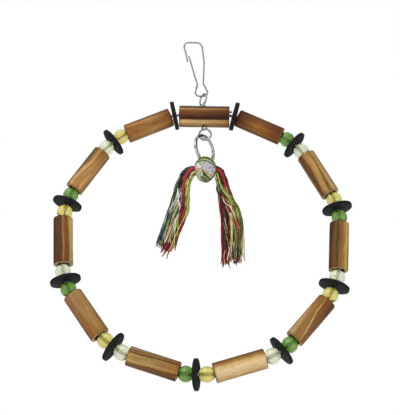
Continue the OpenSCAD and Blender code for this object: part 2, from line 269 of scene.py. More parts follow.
def blended(tree, factor, first, second, kind="MIX"):
    return node(tree, "Mix", {"Factor": factor, 6: first, 7: second}, data_type="RGBA",
                blend_type=kind).outputs[2]


def toned(tree, colour, tone):
    # a colour times one tone for all its channels
    grey = node(tree, "CombineColor", {0: tone, 1: tone, 2: tone}).outputs[0]
    return blended(tree, 1.0, colour, grey, "MULTIPLY")


def stretched(tree, where, scale, shift=(0.0, 0.0, 0.0)):
    return node(tree, "Mapping", {"Vector": where, "Location": shift, "Scale": scale}).outputs[0]


def clouds(tree, where, scale, detail, roughness=0.5):
    return node(tree, "TexNoise", {"Vector": where, "Scale": scale, "Detail": detail,
                                   "Roughness": roughness}).outputs["Fac"]


def waves(tree, where, scale, distortion, detailScale, direction):
    return node(tree, "TexWave", {"Vector": where, "Scale": scale, "Distortion": distortion, "Detail": 2.0,
                                  "Detail Scale": detailScale}, bands_direction=direction).outputs["Fac"]


def ramped(tree, value, stops):
    # a colour ramp through its (place, colour) stops
    ramp = node(tree, "ValToRGB", {"Fac": value})
    elements = ramp.color_ramp.elements
    while len(elements) < len(stops):
        elements.new(0.5)
    for element, (place, colour) in zip(elements, stops):
        element.position = place
        element.color = colour
    return ramp.outputs["Color"]


def relief(tree, height, strength, depth):
    return node(tree, "Bump", {"Strength": strength, "Distance": depth, "Height": height}).outputs["Normal"]


def newGroup(name, amounts):
    # takes a colour, a vector and some amounts, and gives a colour, a roughness and a height
    group = bpy.data.node_groups.new(name, "ShaderNodeTree")
    for label, kind in (("Colour", "Color"), ("Vector", "Vector")):
        group.interface.new_socket(name=label, in_out="INPUT", socket_type="NodeSocket" + kind)
    for label, amount in amounts.items():
        socket = group.interface.new_socket(name=label, in_out="INPUT", socket_type="NodeSocketFloat")
        socket.default_value = amount
    for label, kind in (("Colour", "Color"), ("Roughness", "Float"), ("Height", "Float")):
        group.interface.new_socket(name=label, in_out="OUTPUT", socket_type="NodeSocket" + kind)
    return group, group.nodes.new("NodeGroupInput").outputs, group.nodes.new("NodeGroupOutput")


grain = {
    # how often each repeats round the tube, along it and across its layers, then its detail and roughness
    "fibres": ((46.0, 2.2, 1.0), 6.0, 0.62),
    "bands": ((13.0, 1.1, 1.0), 3.0, 0.5),
    "pores": ((150.0, 9.0, 1.0), 2.0, 0.5),
    "rings": (9.0, 0.35, 1.0),
    "ringBend": (3.2, 1.4),
    # the part of the noise that is used, and the darkest and lightest tone it gives
    "fibreTones": (0.33, 0.68, 0.58, 1.22),
    "bandTones": (0.35, 0.65, 0.72, 1.18),
    "ringTones": (0.0, 1.0, 0.78, 1.10),
    "poreTones": (0.0, 1.0, 0.62, 1.0),
    "poreMask": (0.30, 0.42),
    "roughness": (0.42, 0.66),
}


def makeGrainGroup():
    # fine fibres and pores that run along a tube, from its own UV map
    group, given, out = newGroup("woodGrain", {"Streak": 0.5, "Seed": 0.0})
    seed = node(group, "CombineXYZ", {"X": given["Seed"], "Y": given["Seed"]}).outputs[0]
    moved = node(group, "VectorMath", {0: given["Vector"], 1: seed}, operation="ADD").outputs[0]
    fibres, bands, pores = (clouds(group, stretched(group, moved, scale), 1.0, detail, roughness)
                            for scale, detail, roughness in (grain["fibres"], grain["bands"], grain["pores"]))
    rings = waves(group, stretched(group, moved, grain["rings"]), 1.0, *grain["ringBend"], "X")
    poreMask = ranged(group, pores, *grain["poreMask"])
    banded = maths(group, "MULTIPLY", ranged(group, bands, *grain["bandTones"]),
                   ranged(group, rings, *grain["ringTones"]))
    tone = maths(group, "MULTIPLY", ranged(group, fibres, *grain["fibreTones"]), banded)
    tone = maths(group, "MULTIPLY", tone, ranged(group, poreMask, *grain["poreTones"]))
    streaked = node(group, "Mix", {"Factor": given["Streak"], "A": 1.0, "B": tone}, data_type="FLOAT")
    feed(group, out, {
        "Colour": toned(group, given["Colour"], streaked.outputs[0]),
        "Roughness": ranged(group, fibres, 0.0, 1.0, *grain["roughness"]),
        "Height": maths(group, "MULTIPLY", fibres, poreMask),
    })
    return group


scuffing = {
    "noise": (5.0, 0.6),  # detail and roughness
    "used": (0.3, 0.7),  # the part of the noise that is used
}


def makeScuffGroup():
    # cloudy light and dark places, shinier and duller too
    group, given, out = newGroup("scuffs", {"Size": 400.0, "Amount": 0.2, "Low Roughness": 0.2,
                                            "High Roughness": 0.35})
    cloud = clouds(group, given["Vector"], given["Size"], *scuffing["noise"])
    amount = maths(group, "MULTIPLY", ranged(group, cloud, *scuffing["used"], -1.0, 1.0), given["Amount"])
    feed(group, out, {
        "Colour": toned(group, given["Colour"], maths(group, "ADD", amount, 1.0)),
        "Roughness": ranged(group, cloud, *scuffing["used"], given["Low Roughness"], given["High Roughness"]),
        "Height": cloud,
    })
    return group


grainGroup = makeGrainGroup()
scuffGroup = makeScuffGroup()


def ownPlace(tree):
    return node(tree, "TexCoord").outputs["Object"]


def scuffed(tree, colour, size, amount, roughness):
    return node(tree, "Group", {"Colour": colour, "Vector": ownPlace(tree), "Size": size, "Amount": amount,
                                "Low Roughness": roughness[0], "High Roughness": roughness[1]},
                node_tree=scuffGroup).outputs


def newMaterial(name):
    material = bpy.data.materials.new(name)
    material.use_nodes = True
    return material, *shaderOf(material)


def shaderOf(material):
    return material.node_tree, material.node_tree.nodes["Principled BSDF"]


def scuffedMaterial(name, colour, size, amount, roughness, bump=None, metallic=0.0):
    # one colour with scuffs: how many per metre, how strong, from how smooth to how rough
    material, tree, principled = newMaterial(name)
    scuffs = scuffed(tree, hexColour(colour), size, amount, roughness)
    feed(tree, principled, {"Base Color": scuffs["Colour"], "Roughness": scuffs["Roughness"],
                            "Metallic": metallic})
    if bump:
        feed(tree, principled, {"Normal": relief(tree, scuffs["Height"], *bump)})
    return material


# rope: yarns of many colours, combed out below the knot

yarn = {
    "radius": 0.29,  # mm
    "sides": 5,
    "rings": 30,
    "thickness": (0.85, 1.15),  # from thin to thick yarns
    "lumps": 0.10,
    "lumpStep": 0.9,  # radians from one ring to the next
    "tip": 0.6,  # what is left of the thickness at its end
    "shades": (0.5, 1.18),  # from dark to light yarns
    "tints": (0.94, 1.06),
    "fuzz": (900.0, 0.14, (0.75, 0.95)),  # per metre, strength, roughness
    "lay": 420.0,  # ridges of the twist per metre
    "layTurn": (0.4, 0.9, 0.3),  # radians
    "layBend": (3.0, 2.0),
    # the twist's grooves painted darker and its ridges lighter, as shade and light
    "layShading": (0.88, 1.06),
    "layRelief": (0.25, 0.0002),
    "gloss": 0.25,
    "tones": {
        "lime": "AECB5E", "moss": "7F9440", "cream": "E6E0CC", "gold": "CCAE6A", "red": "AE3A32",
        "crimson": "8A2030", "maroon": "561722", "navy": "22284A", "teal": "38585A", "green": "2A5A38",
        "black": "1B1E20", "grey": "B9BBC6", "lilac": "CFC6DA", "rust": "9A5230", "brown": "6B4526",
    },
}


def makeYarnMaterial():
    # cotton yarn: each yarn's own colour, a twisted lay with painted shade in its grooves and painted light on its
    # ridges, and a fine fuzz
    material, tree, principled = newMaterial("cottonYarn")
    tone = node(tree, "Attribute", attribute_name="yarnColour").outputs["Color"]
    fuzz = scuffed(tree, tone, *yarn["fuzz"])
    turned = node(tree, "Mapping", {"Vector": ownPlace(tree), "Rotation": yarn["layTurn"]}).outputs[0]
    lay = waves(tree, turned, yarn["lay"], *yarn["layBend"], "DIAGONAL")
    feed(tree, principled, {
        "Base Color": toned(tree, fuzz["Colour"], ranged(tree, lay, 0.0, 1.0, *yarn["layShading"])),
        "Roughness": fuzz["Roughness"],
        "Normal": relief(tree, lay, *yarn["layRelief"]),
        "Specular IOR Level": yarn["gloss"],
    })
    return material


yarnMaterial = makeYarnMaterial()


def newRope():
    whole = bmesh.new()
    whole.verts.layers.float_color.new("yarnColour")
    return whole


def gather(whole, part, colour):
    # adds a part to the rope, in its colour
    layer = part.verts.layers.float_color.new("yarnColour")
    for vert in part.verts:
        vert[layer] = colour
    mesh = bpy.data.meshes.new("part")
    part.to_mesh(mesh)
    part.free()
    whole.from_mesh(mesh)
    bpy.data.meshes.remove(mesh)


def addYarn(whole, path, tone, thick, chance):
    # one yarn in its tone, a little lighter or darker than its neighbours
    shade = chance.uniform(*yarn["shades"])
    colour = [min(1.0, c * shade * chance.uniform(*yarn["tints"])) for c in hexColour(yarn["tones"][tone])[:3]]
    radius = yarn["radius"] * thick * chance.uniform(*yarn["thickness"]) * mm
    phase = shade * 20
    radii = [radius * (1 + yarn["lumps"] * math.sin(i * yarn["lumpStep"] + phase)) for i in range(len(path))]
    radii[-1] *= yarn["tip"]
    gather(whole, sweep(path, radii, yarn["sides"]), colour + [1.0])


knotPlace = {"x": 12.047, "width": 13.5, "height": 18.4}  # mm
rootDrop = 0.61  # from the knot's top down to the tails' roots, in knot heights
leftRoot = Vector(joints["left_tail_sway"]["pos_m"])
rightRoot = Vector(joints["right_tail_sway"]["pos_m"])
knotTop = leftRoot.z + rootDrop * knotPlace["height"] * mm

# A tail's bundles of yarns, front ones last: tones, how many, the bundle's radius in mm, how far
# forwards it lies, the part of the tail that it covers, its turns of twist, and where it runs across
# the tail (-1 left edge, 1 right edge) from the tail's top (0) to its end (1).
leftTail = {
    "name": "ropeTailLeft",
    "root": leftRoot,
    "route": [(5.6, 2.4), (2.4, 2.2), (-0.3, 0.2), (-2.6, -4.4), (-4.3, -11), (-5.2, -18), (-6.2, -26), (-9.3, -36),
              (-12, -45), (-14.2, -55)],
    "width": [(0, 2.8), (0.07, 4.0), (0.16, 5.0), (0.24, 5.1), (0.33, 5.5), (0.42, 6.0), (0.55, 6.4), (0.75, 6.1),
              (0.9, 6.3), (1.0, 5.6)],
    "depth": [(0, 2.6), (0.1, 3.8), (0.3, 4.6), (0.6, 4.9), (1.0, 4.4)],
    "diameter": 0.0104,
    "seed": 11,
    "mixed": ["cream", "maroon", "green", "navy", "gold", "crimson", "black", "moss"],
    "strays": 22,
    "strayTones": ["cream", "navy", "grey", "gold", "crimson", "navy", "lime", "green"],
    "bundles": [
        # the first three bundles lie deep and dark: partly the rope's own dark yarns, partly painted shade for the
        # gaps between the yarns in front
        ("black navy green", 12, 2.6, 0.0, (0.0, 0.93), 0.5, [(0, 0), (1, 0)]),
        ("maroon black green", 12, 2.2, 0.3, (0.0, 0.95), 0.6, [(0, 0.3), (1, 0.45)]),
        ("navy black teal", 12, 2.2, 0.3, (0.0, 0.93), 0.6, [(0, -0.3), (1, -0.5)]),
        ("cream gold moss", 8, 1.5, 0.5, (0.1, 0.97), 0.8, [(0.05, 0.6), (0.5, -0.1), (1, 0.3)]),
        ("navy navy teal navy", 16, 1.5, 0.6, (0.0, 0.96), 0.7,
         [(0, -0.1), (0.12, -0.62), (0.3, -0.82), (0.6, -0.85), (1, -0.75)]),
        ("green green black", 10, 1.6, 0.66, (0.2, 0.97), 0.5,
         [(0.2, -0.5), (0.45, -0.6), (0.65, -0.45), (0.85, -0.4), (1, -0.3)]),
        ("crimson red maroon", 9, 1.5, 0.72, (0.0, 1.0), 0.6,
         [(0, -0.5), (0.1, -0.25), (0.2, -0.08), (0.4, 0.1), (0.6, 0.45), (0.8, 0.35), (1, 0.15)]),
        ("gold gold cream lime", 9, 1.1, 0.72, (0.0, 0.6), 0.8,
         [(0, 0.7), (0.12, 0.62), (0.25, 0.72), (0.38, 0.75), (0.6, 0.4), (1, 0.2)]),
        ("rust gold maroon crimson", 12, 1.2, 0.88, (0.45, 1.0), 0.7,
         [(0.3, 0.8), (0.6, 0.75), (0.8, 0.7), (1, 0.6)]),
        ("red crimson red red", 17, 1.25, 0.9, (0.0, 0.78), 0.5,
         [(0, -0.3), (0.12, -0.05), (0.25, 0.02), (0.42, 0.22), (0.6, 0.62), (0.8, 0.7), (1, 0.55)]),
        ("lime moss lime gold lime green", 19, 1.3, 1.0, (0.18, 0.62), 0.45,
         [(0.18, 0.5), (0.3, 0.58), (0.42, 0.72), (0.55, 0.86), (0.64, 0.92)]),
        ("grey cream teal grey", 6, 0.8, 0.95, (0.3, 0.94), 0.6,
         [(0.14, -0.55), (0.3, -0.4), (0.45, -0.5), (0.62, -0.85), (0.8, -0.88), (1, -0.85)]),
        ("navy black", 6, 0.8, 0.9, (0.05, 0.95), 0.5,
         [(0.1, -0.85), (0.3, -0.75), (0.5, -0.95), (0.75, -0.65), (1, -0.6)]),
        ("cream", 3, 0.5, 1.05, (0.3, 0.8), 0.3, [(0.25, -0.7), (0.42, -0.3), (0.6, 0.3), (0.75, 0.3)]),
        ("gold cream moss", 10, 1.2, 1.0, (0.45, 0.95), 0.6, [(0.4, -0.4), (0.6, -0.12), (0.8, 0.05), (1, 0.15)]),
        ("teal moss green", 11, 1.0, 0.96, (0.5, 0.95), 0.5, [(0.5, -0.3), (0.7, -0.5), (0.85, -0.5), (1, -0.55)]),
        ("crimson maroon crimson", 9, 1.2, 0.85, (0.66, 1.03), 0.5, [(0.6, 0.1), (0.8, 0.1), (1, 0.1)]),
    ],
    "loose": [
        ("crimson", [(-10.5, -46), (-12.0, -52), (-13.8, -57), (-15.4, -61)], -3.2),
        ("navy", [(-15.0, -43), (-17.2, -46.5), (-19.3, -46.8)], -1.5),
        ("rust", [(-8.0, -44), (-7.2, -49), (-8.3, -52.5), (-9.6, -50.5)], -2.5),
    ],
}
rightTail = {
    "name": "ropeTailRight",
    "root": rightRoot,
    "route": [(-5.6, 2.6), (-2.5, 2.6), (0.1, 0.4), (1.1, -4.8), (2, -12), (4.4, -20), (7.2, -30), (8.5, -40),
              (9.0, -50), (9.2, -62)],
    "width": [(0, 2.8), (0.06, 3.7), (0.14, 4.3), (0.22, 4.4), (0.32, 4.8), (0.42, 5.8), (0.52, 6.6), (0.65, 7.2),
              (0.8, 7.3), (1.0, 6.6)],
    "depth": [(0, 2.6), (0.1, 3.4), (0.3, 4.3), (0.6, 4.8), (1.0, 4.0)],
    "diameter": 0.0114,
    "seed": 23,
    "mixed": ["maroon", "black", "green", "gold", "crimson", "rust", "moss", "cream"],
    "strays": 26,
    "strayTones": ["gold", "cream", "lime", "crimson", "gold", "maroon", "green"],
    "bundles": [
        # the first three bundles lie deep and dark: partly the rope's own dark yarns, partly painted shade for the
        # gaps between the yarns in front
        ("black green navy", 12, 2.6, 0.0, (0.0, 0.94), 0.5, [(0, 0), (1, 0)]),
        ("black maroon green", 12, 2.3, 0.3, (0.0, 0.95), 0.6, [(0, 0.3), (1, 0.5)]),
        ("maroon black brown", 12, 2.3, 0.3, (0.0, 0.95), 0.6, [(0, -0.3), (1, -0.5)]),
        ("crimson maroon navy", 12, 1.5, 0.66, (0.0, 0.97), 0.6,
         [(0, 0.3), (0.14, 0.35), (0.24, 0.72), (0.4, 0.72), (0.6, 0.35), (1, 0.3)]),
        ("crimson rust red maroon rust", 22, 1.8, 1.0, (0.25, 0.76), 0.6,
         [(0.2, -0.7), (0.32, -0.6), (0.45, -0.25), (0.58, 0.15), (0.72, 0.4), (1, 0.3)]),
        ("crimson maroon crimson", 12, 1.25, 0.75, (0.3, 1.02), 0.5,
         [(0.3, -0.7), (0.45, -0.82), (0.65, -0.8), (0.85, -0.85), (1, -0.8)]),
        ("black green maroon", 12, 1.5, 0.78, (0.46, 0.97), 0.5, [(0.4, -0.5), (0.6, -0.35), (0.8, -0.4), (1, -0.3)]),
        ("crimson red maroon crimson", 12, 1.2, 0.86, (0.0, 0.97), 0.6,
         [(0, -0.2), (0.12, 0.1), (0.22, 0.4), (0.34, 0.15), (0.5, 0.2), (0.65, 0.4), (0.85, 0.35), (1, 0.2)]),
        ("crimson red maroon red", 18, 1.3, 0.95, (0.02, 0.6), 0.4,
         [(0.05, 0.0), (0.18, 0.32), (0.3, 0.6), (0.42, 0.55), (0.6, 0.4)]),
        ("navy lilac", 4, 0.7, 0.95, (0.0, 0.36), 0.4, [(0, 0.1), (0.1, 0.3), (0.2, 0.82), (0.35, 0.98)]),
        ("green green moss black", 11, 1.15, 0.95, (0.14, 0.97), 0.5,
         [(0.16, -0.65), (0.3, -0.3), (0.42, 0.3), (0.52, 0.7), (0.65, 0.75), (0.85, 0.4), (1, 0.35)]),
        ("lime cream moss lime green lime", 30, 1.9, 1.03, (0.08, 0.7), 0.3,
         [(0.1, -0.75), (0.2, -0.6), (0.3, -0.1), (0.4, 0.5), (0.5, 0.8), (0.65, 0.85), (0.85, 0.86)]),
        ("cream gold gold cream", 17, 1.15, 0.95, (0.42, 1.0), 0.6,
         [(0.4, 0.3), (0.52, 0.85), (0.68, 0.88), (0.85, 0.85), (1, 0.82)]),
        ("gold gold cream", 7, 0.9, 1.0, (0.5, 0.99), 0.7,
         [(0.45, -0.3), (0.6, -0.05), (0.75, -0.1), (0.9, -0.2), (1, -0.35)]),
        ("cream", 2, 0.3, 1.08, (0.34, 0.62), 0.2, [(0.3, -0.6), (0.42, -0.35), (0.5, 0.2), (0.58, 0.35)]),
        ("green moss", 7, 0.9, 1.0, (0.55, 0.98), 0.6, [(0.5, 0.1), (0.65, 0.15), (0.8, 0.3), (1, 0.2)]),
        ("maroon crimson", 8, 0.9, 1.0, (0.48, 1.03), 0.4, [(0.42, -0.78), (0.6, -0.8), (0.8, -0.86), (1, -0.78)]),
        ("navy lilac maroon", 7, 1.6, 0.98, (0.84, 1.0), 0.3, [(0.8, 0.2), (1, 0.3)]),
    ],
    "loose": [
        ("crimson", [(2.4, -52), (2.2, -57), (3.0, -62), (2.8, -66)], -2.5),
        ("gold", [(4.0, -56), (3.2, -61), (4.4, -65.5)], -3.2),
        ("crimson", [(12.5, -52), (13.5, -58), (12.6, -64)], -2.8),
    ],
}


strand = {  # how a yarn runs in its bundle, in shares of the tail's length and of its width
    "ripples": (9, 19),
    "rippleDepth": 0.28,  # mm
    "spread": (0.05, 1.0),  # how far from the bundle's middle, squared
    "rootEnd": 0.04,  # yarns that start above this start at the knot
    "freeEnd": 0.9,  # yarns that end above this are short ones
    "startShift": (-0.03, 0.03),
    "endShift": (-0.05, 0.02),
    "freeShift": (-0.07, 0.035),
    "drift": 0.16,
    "edge": 1.04,
    "opening": (0.7, 0.5),  # how wide a bundle is at the top, and how much it opens on its way down
    "roundest": 0.96,  # a bundle's place across, squared, takes it backwards up to this
    "sunk": 0.5,  # how much of its radius a bundle sinks into the tail
    "flatness": 0.7,
    "tuckRings": 4,  # rings at a yarn's ends that go in under the others
    "tuckStart": (0.35, 0.16),  # how far out the first one stays, and how much further each next one
    "tuckEnd": (0.5, 0.12),
    "fray": (0.84, 0.16, 1.5),  # where the tips start to part, over how much, and how suddenly
    "flare": (0.8, 0.5, 0.6),  # mm, how far they part
    "mostFlare": 1.5,
    "oddOnes": 0.16,  # share of yarns in another colour than their bundle's
    "oddRadius": 1.3,  # mm, only in bundles that are thicker than this
    "front": 0.5,  # bundles that lie this far forwards are repeated round the back
    "thickness": {"front": 1.0, "back": 1.15, "stray": 0.8, "loose": 1.2},
}


strays = {  # thin yarns that cross the others at a slant
    "start": (0.14, 0.62),
    "run": (0.3, 0.5),
    "side": (-0.9, 0.9),
    "slant": (0.3, 0.8),
    "edge": 0.95,
    "radius": 0.4,  # mm
    "forwards": (0.98, 1.07),
    "turns": 0.2,
}


def within(value, limit):
    return max(-limit, min(limit, value))


def alongRoute(route, t):
    # a place and a direction along the route, running straight on past its end
    lengths = [0.0]
    for a, b in zip(route, route[1:]):
        lengths.append(lengths[-1] + (b - a).length)
    goal = t * lengths[-1]
    last = len(route) - 2
    i = next((i for i in range(last) if goal <= lengths[i + 1]), last)
    k = (goal - lengths[i]) / (lengths[i + 1] - lengths[i])
    here = (route[i + 1] - route[max(i - 1, 0)]).normalized()
    there = (route[min(i + 2, last + 1)] - route[i]).normalized()
    return route[i].lerp(route[i + 1], k), here.lerp(there, min(max(k, 0), 1)).normalized()


def yarnPath(tail, route, bundle, chance):
    radius, forwards, reach, turns, across = bundle
    spin, phase = chance.uniform(0, 2 * math.pi), chance.uniform(0, 2 * math.pi)
    ripples = chance.uniform(*strand["ripples"])
    share = math.sqrt(chance.uniform(*strand["spread"]))
    short = reach[1] < strand["freeEnd"]
    startT = reach[0] + chance.uniform(*strand["startShift"]) if reach[0] > strand["rootEnd"] else 0.0
    endT = reach[1] + chance.uniform(*strand["endShift" if short else "freeShift"])
    drift = chance.uniform(-strand["drift"], strand["drift"])
    flare = Vector([within(chance.gauss(0, w), strand["mostFlare"]) for w in strand["flare"]]) * mm
    path = []
    last = yarn["rings"] - 1
    for i in range(yarn["rings"]):
        t = startT + (endT - startT) * i / last
        place, direction = alongRoute(route, t)
        outward = Vector((-direction.z, 0, direction.x))
        wide = mix(tail["width"], min(t, 1.0)) - yarn["radius"]
        deep = mix(tail["depth"], min(t, 1.0)) - yarn["radius"]
        centre = mix(across, t)
        turn = spin + 2 * math.pi * turns * t
        loosened = share * radius * (strand["opening"][0] + strand["opening"][1] * t)
        u = centre + (loosened * math.cos(turn) + strand["rippleDepth"] * math.sin(ripples * t + phase)) / wide
        u = within(u + drift * i / yarn["rings"], strand["edge"])
        v = forwards * math.sqrt(1 - min(strand["roundest"], centre * centre))
        v = v * (deep - strand["sunk"] * radius) / deep + loosened * strand["flatness"] * math.sin(turn) / deep
        tucked = 1.0
        if startT > strand["rootEnd"] and i < strand["tuckRings"]:
            tucked = strand["tuckStart"][0] + strand["tuckStart"][1] * i
        if short and i > last - strand["tuckRings"]:
            tucked = strand["tuckEnd"][0] + strand["tuckEnd"][1] * (last - i)
        frayed = max(0.0, (t - strand["fray"][0]) / strand["fray"][1]) ** strand["fray"][2]
        path.append(place + outward * u * wide * mm + Vector((0, -v * tucked * deep * mm, 0)) + flare * frayed)
    return path


def makeTail(tail):
    chance = random.Random(tail["seed"])
    route = [tail["root"] + point(x, 0, z) for x, z in tail["route"]]
    thick = strand["thickness"]
    whole = newRope()
    for tones, count, *bundle in tail["bundles"]:
        tones = tones.split()
        radius, forwards = bundle[:2]
        for n in range(count):
            tone = tones[n % len(tones)]
            path = yarnPath(tail, route, bundle, chance)
            odd = chance.random() < strand["oddOnes"] and radius > strand["oddRadius"]
            addYarn(whole, path, chance.choice(tail["mixed"]) if odd else tone, thick["front"], chance)
            if forwards >= strand["front"]:  # the same colour runs on round the back
                path = yarnPath(tail, route, bundle, chance)
                addYarn(whole, [Vector((p.x, -p.y, p.z)) for p in path], tone, thick["back"], chance)
    for _ in range(tail["strays"]):
        start = chance.uniform(*strays["start"])
        end = min(1.0, start + chance.uniform(*strays["run"]))
        side = chance.uniform(*strays["side"])
        other = within(side + chance.choice((-1, 1)) * chance.uniform(*strays["slant"]), strays["edge"])
        stray = (strays["radius"], chance.uniform(*strays["forwards"]), (start, end), strays["turns"],
                 [(start, side), (end, other)])
        path = yarnPath(tail, route, stray, chance)
        addYarn(whole, path, chance.choice(tail["strayTones"]), thick["stray"], chance)
    for tone, corners, y in tail["loose"]:
        path = smoothed([tail["root"] + point(x, y, z) for x, z in corners], 2)
        addYarn(whole, path, tone, thick["loose"], chance)
    return addPiece(tail["name"], whole, [yarnMaterial]), route


for tail, body, solid in ((leftTail, "left_tail", "rope_tail_left"), (rightTail, "right_tail", "rope_tail_right")):
    piece, route = makeTail(tail)
    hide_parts(solid)
    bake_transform(piece)
print("rope tails made")

# knot: yarns that fan out from its front, under a band that arches over its top

knot = {
    "seed": 5,
    "middle": 0.48,  # its centre below its top, in knot heights
    "trim": (0.25, -0.1, -0.4),  # mm, more or less than half its width, depth and height
    "shadeBall": 0.94,  # a dark ball of painted shade under the yarns, showing in the gaps between them, as a share of the knot
    "shadeBallTone": (0.06, 0.05, 0.04, 1.0),
    "front": (-0.33, -0.92, -0.2),  # the way that the fan's middle faces
    # the fan's tones, each from its angle on, counted from its right side; the pale lilac and grey yarns from 338
    # round to 58 degrees, on its right, are partly pale yarns and partly painted sheen
    "fan": [(0, "lilac"), (14, "grey"), (32, "lilac"), (58, "lime"), (78, "cream"), (100, "grey"), (128, "cream"),
            (160, "lilac"), (176, "gold"), (198, "cream"), (222, "grey"), (240, "lime"), (254, "cream"),
            (268, "moss"), (276, "green"), (284, "black"), (294, "green"), (303, "gold"), (322, "cream"),
            (338, "lilac"), (350, "grey")],
    "fanCount": 92,
    "fanPoints": 16,
    "fanReach": (3, 116),  # degrees from the fan's middle: where a yarn starts, and how far it runs
    "swirl": (26, 1.5),  # degrees at a yarn's end, and how late it comes
    "wobble": (-2.5, 2.5),  # degrees
    "lift": (0.985, -0.025, 0.02),  # how far out a yarn lies, and how much less or more
    "shades": (0.55, 1.1),
    "thickness": (1.0, 1.35),
    "narrowing": (0.42, 0.62),  # a yarn's thickness at the fan's middle, and what it gains further out
    "taper": 0.12,  # of its width, at the bottom
    "lumps": (0.03, 2.3),  # how high, and how closely they follow each other
    "band": ["lime", "moss", "green", "lime", "lime", "lime", "moss", "green", "black", "green", "lime", "lime",
             "cream", "green"],
    "bandPoints": 28,
    "bandReach": 112,  # degrees to either side of the knot's top
    "bandTop": (0.05, 0.24, 0.99),  # its first yarn's way from the knot's centre: right, forwards and up
    "bandStep": (0.055, 0.046),  # from one yarn to the next, forwards and down
    "bandSide": (1, 0, -0.20),
    "bandLift": 1.03,
    "bandRipple": (0.012, 1.7),
    "bandThickness": 1.1,
}


def onKnot(centre, half, direction, depth):
    # an egg: fuller at the top, narrower and lumpy below
    taper = 1.0 - knot["taper"] * max(0.0, -direction.z)
    lump = 1 + knot["lumps"][0] * noise.noise(direction * knot["lumps"][1] + Vector((4, 1, 7)))
    return centre + Vector((direction.x * half.x * taper, direction.y * half.y * taper,
                            direction.z * half.z)) * depth * lump


def makeKnot():
    chance = random.Random(knot["seed"])
    width, height = knotPlace["width"], knotPlace["height"]
    centre = point(knotPlace["x"], 0, 0) + Vector((0, 0, knotTop - height * knot["middle"] * mm))
    half = Vector([size / 2 + trim for size, trim in zip((width, width, height), knot["trim"])]) * mm
    front = Vector(knot["front"]).normalized()
    whole = newRope()
    # a near-black ball under the yarns: painted shade for the gaps between them
    shadeBall = bmesh.new()
    bmesh.ops.create_uvsphere(shadeBall, u_segments=32, v_segments=20, radius=1.0)
    bmesh.ops.scale(shadeBall, vec=half * knot["shadeBall"], verts=shadeBall.verts)
    bmesh.ops.translate(shadeBall, vec=centre, verts=shadeBall.verts)
    gather(whole, shadeBall, knot["shadeBallTone"])

    last = knot["fanPoints"] - 1
    reaches = [math.radians(knot["fanReach"][0] + knot["fanReach"][1] * s / last) for s in range(last + 1)]
    for side in (1, -1):  # the front fan, and one like it at the back
        pole = front if side > 0 else Vector((-front.x, -front.y, front.z))
        across = Vector((pole.y, -pole.x, 0)).normalized() * -side
        upwards = across.cross(pole).normalized()
        if upwards.z < 0:
            upwards = -upwards
        for n in range(knot["fanCount"]):
            angle = (360 * n / knot["fanCount"] + chance.uniform(*knot["wobble"])) % 360
            tone = [name for start, name in knot["fan"] if start <= angle][-1]
            lift = knot["lift"][0] + chance.uniform(*knot["lift"][1:])
            path = []
            for s, reach in enumerate(reaches):
                swirl = math.radians(angle + side * knot["swirl"][0] * (s / last) ** knot["swirl"][1])
                outward = across * math.cos(swirl) + upwards * math.sin(swirl)
                path.append(onKnot(centre, half, pole * math.cos(reach) + outward * math.sin(reach), lift))
            shade = chance.uniform(*knot["shades"])
            thick = yarn["radius"] * chance.uniform(*knot["thickness"])
            narrow, gain = knot["narrowing"]
            radii = [thick * (narrow + gain * math.sin(reach)) * mm for reach in reaches]
            colour = [c * shade for c in hexColour(yarn["tones"][tone])[:3]] + [1.0]
            gather(whole, sweep(path, radii, yarn["sides"]), colour)
    last = knot["bandPoints"] - 1
    right, forwards, up = knot["bandTop"]
    outStep, downStep = knot["bandStep"]
    ripples, rippleStep = knot["bandRipple"]
    sideways = Vector(knot["bandSide"]).normalized()
    for back in (1, -1):  # the band, over the front of the top and then over its back
        for n, tone in enumerate(knot["band"]):
            outwards = Vector((right, back * (-forwards - outStep * n), up - downStep * n)).normalized()
            ripple = ripples * math.sin((n if back > 0 else n + len(knot["band"])) * rippleStep)
            path = []
            for s in range(last + 1):
                swing = math.radians(-knot["bandReach"] + 2 * knot["bandReach"] * s / last)
                direction = outwards * math.cos(swing) + sideways * math.sin(swing)
                path.append(onKnot(centre, half, direction.normalized(), knot["bandLift"] + ripple))
            addYarn(whole, path, tone, knot["bandThickness"], chance)
    return addPiece("ropeKnot", whole, [yarnMaterial])


knotPiece = makeKnot()
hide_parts("rope_knot")
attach(knotPiece, "ring")
print("knot made")

# wires: the snap hook, its gate leg, the eye pin and the split ring

nickel = scuffedMaterial("nickelWire", "8E9091", 140.0, 0.08, (0.32, 0.44), metallic=1.0)
plainSteel = scuffedMaterial("hoopSteel", "C4C6C7", 140.0, 0.08, (0.40, 0.52), metallic=0.85)
ringSteel = scuffedMaterial("ringSteel", "CBCDCE", 120.0, 0.08, (0.14, 0.26), metallic=1.0)
pinSteel = scuffedMaterial("pinSteel", "A0A2A4", 120.0, 0.08, (0.22, 0.34), metallic=1.0)

hook = {
    "wire": 1.1,  # mm
    "nose": 0.45,  # the rounded part of its ends
    "corners": [(-2.72, -15.77), (-4.08, -8.93), (-6.63, 0.55), (6.715, 0.55), (8.84, -15.77), (8.84, -33.63),
                (13.77, -43.55), (2.72, -43.55), (4.62, -35.39)],
    "bends": [0, 5.5, 3.9, 4.6, 20.0, 2.2, 3.0, 3.0, 0],
    "gate": [(4.62, -35.39), (4.9, -34.2), (3.06, -28.78), (-1.955, -10.92)],
    "gateBends": [0, 1.6, 10.0, 0],
}


def taperedRadii(path, radius, nose):
    # full thickness with a rounded end at the last point
    radii = [radius] * len(path)
    length = 0.0
    for i in range(len(path) - 1, 0, -1):
        if length < nose:
            radii[i] = radius * max(0.25, math.sqrt(max(0.0, 1 - (1 - length / nose) ** 2)))
        length += (path[i] - path[i - 1]).length
    return radii


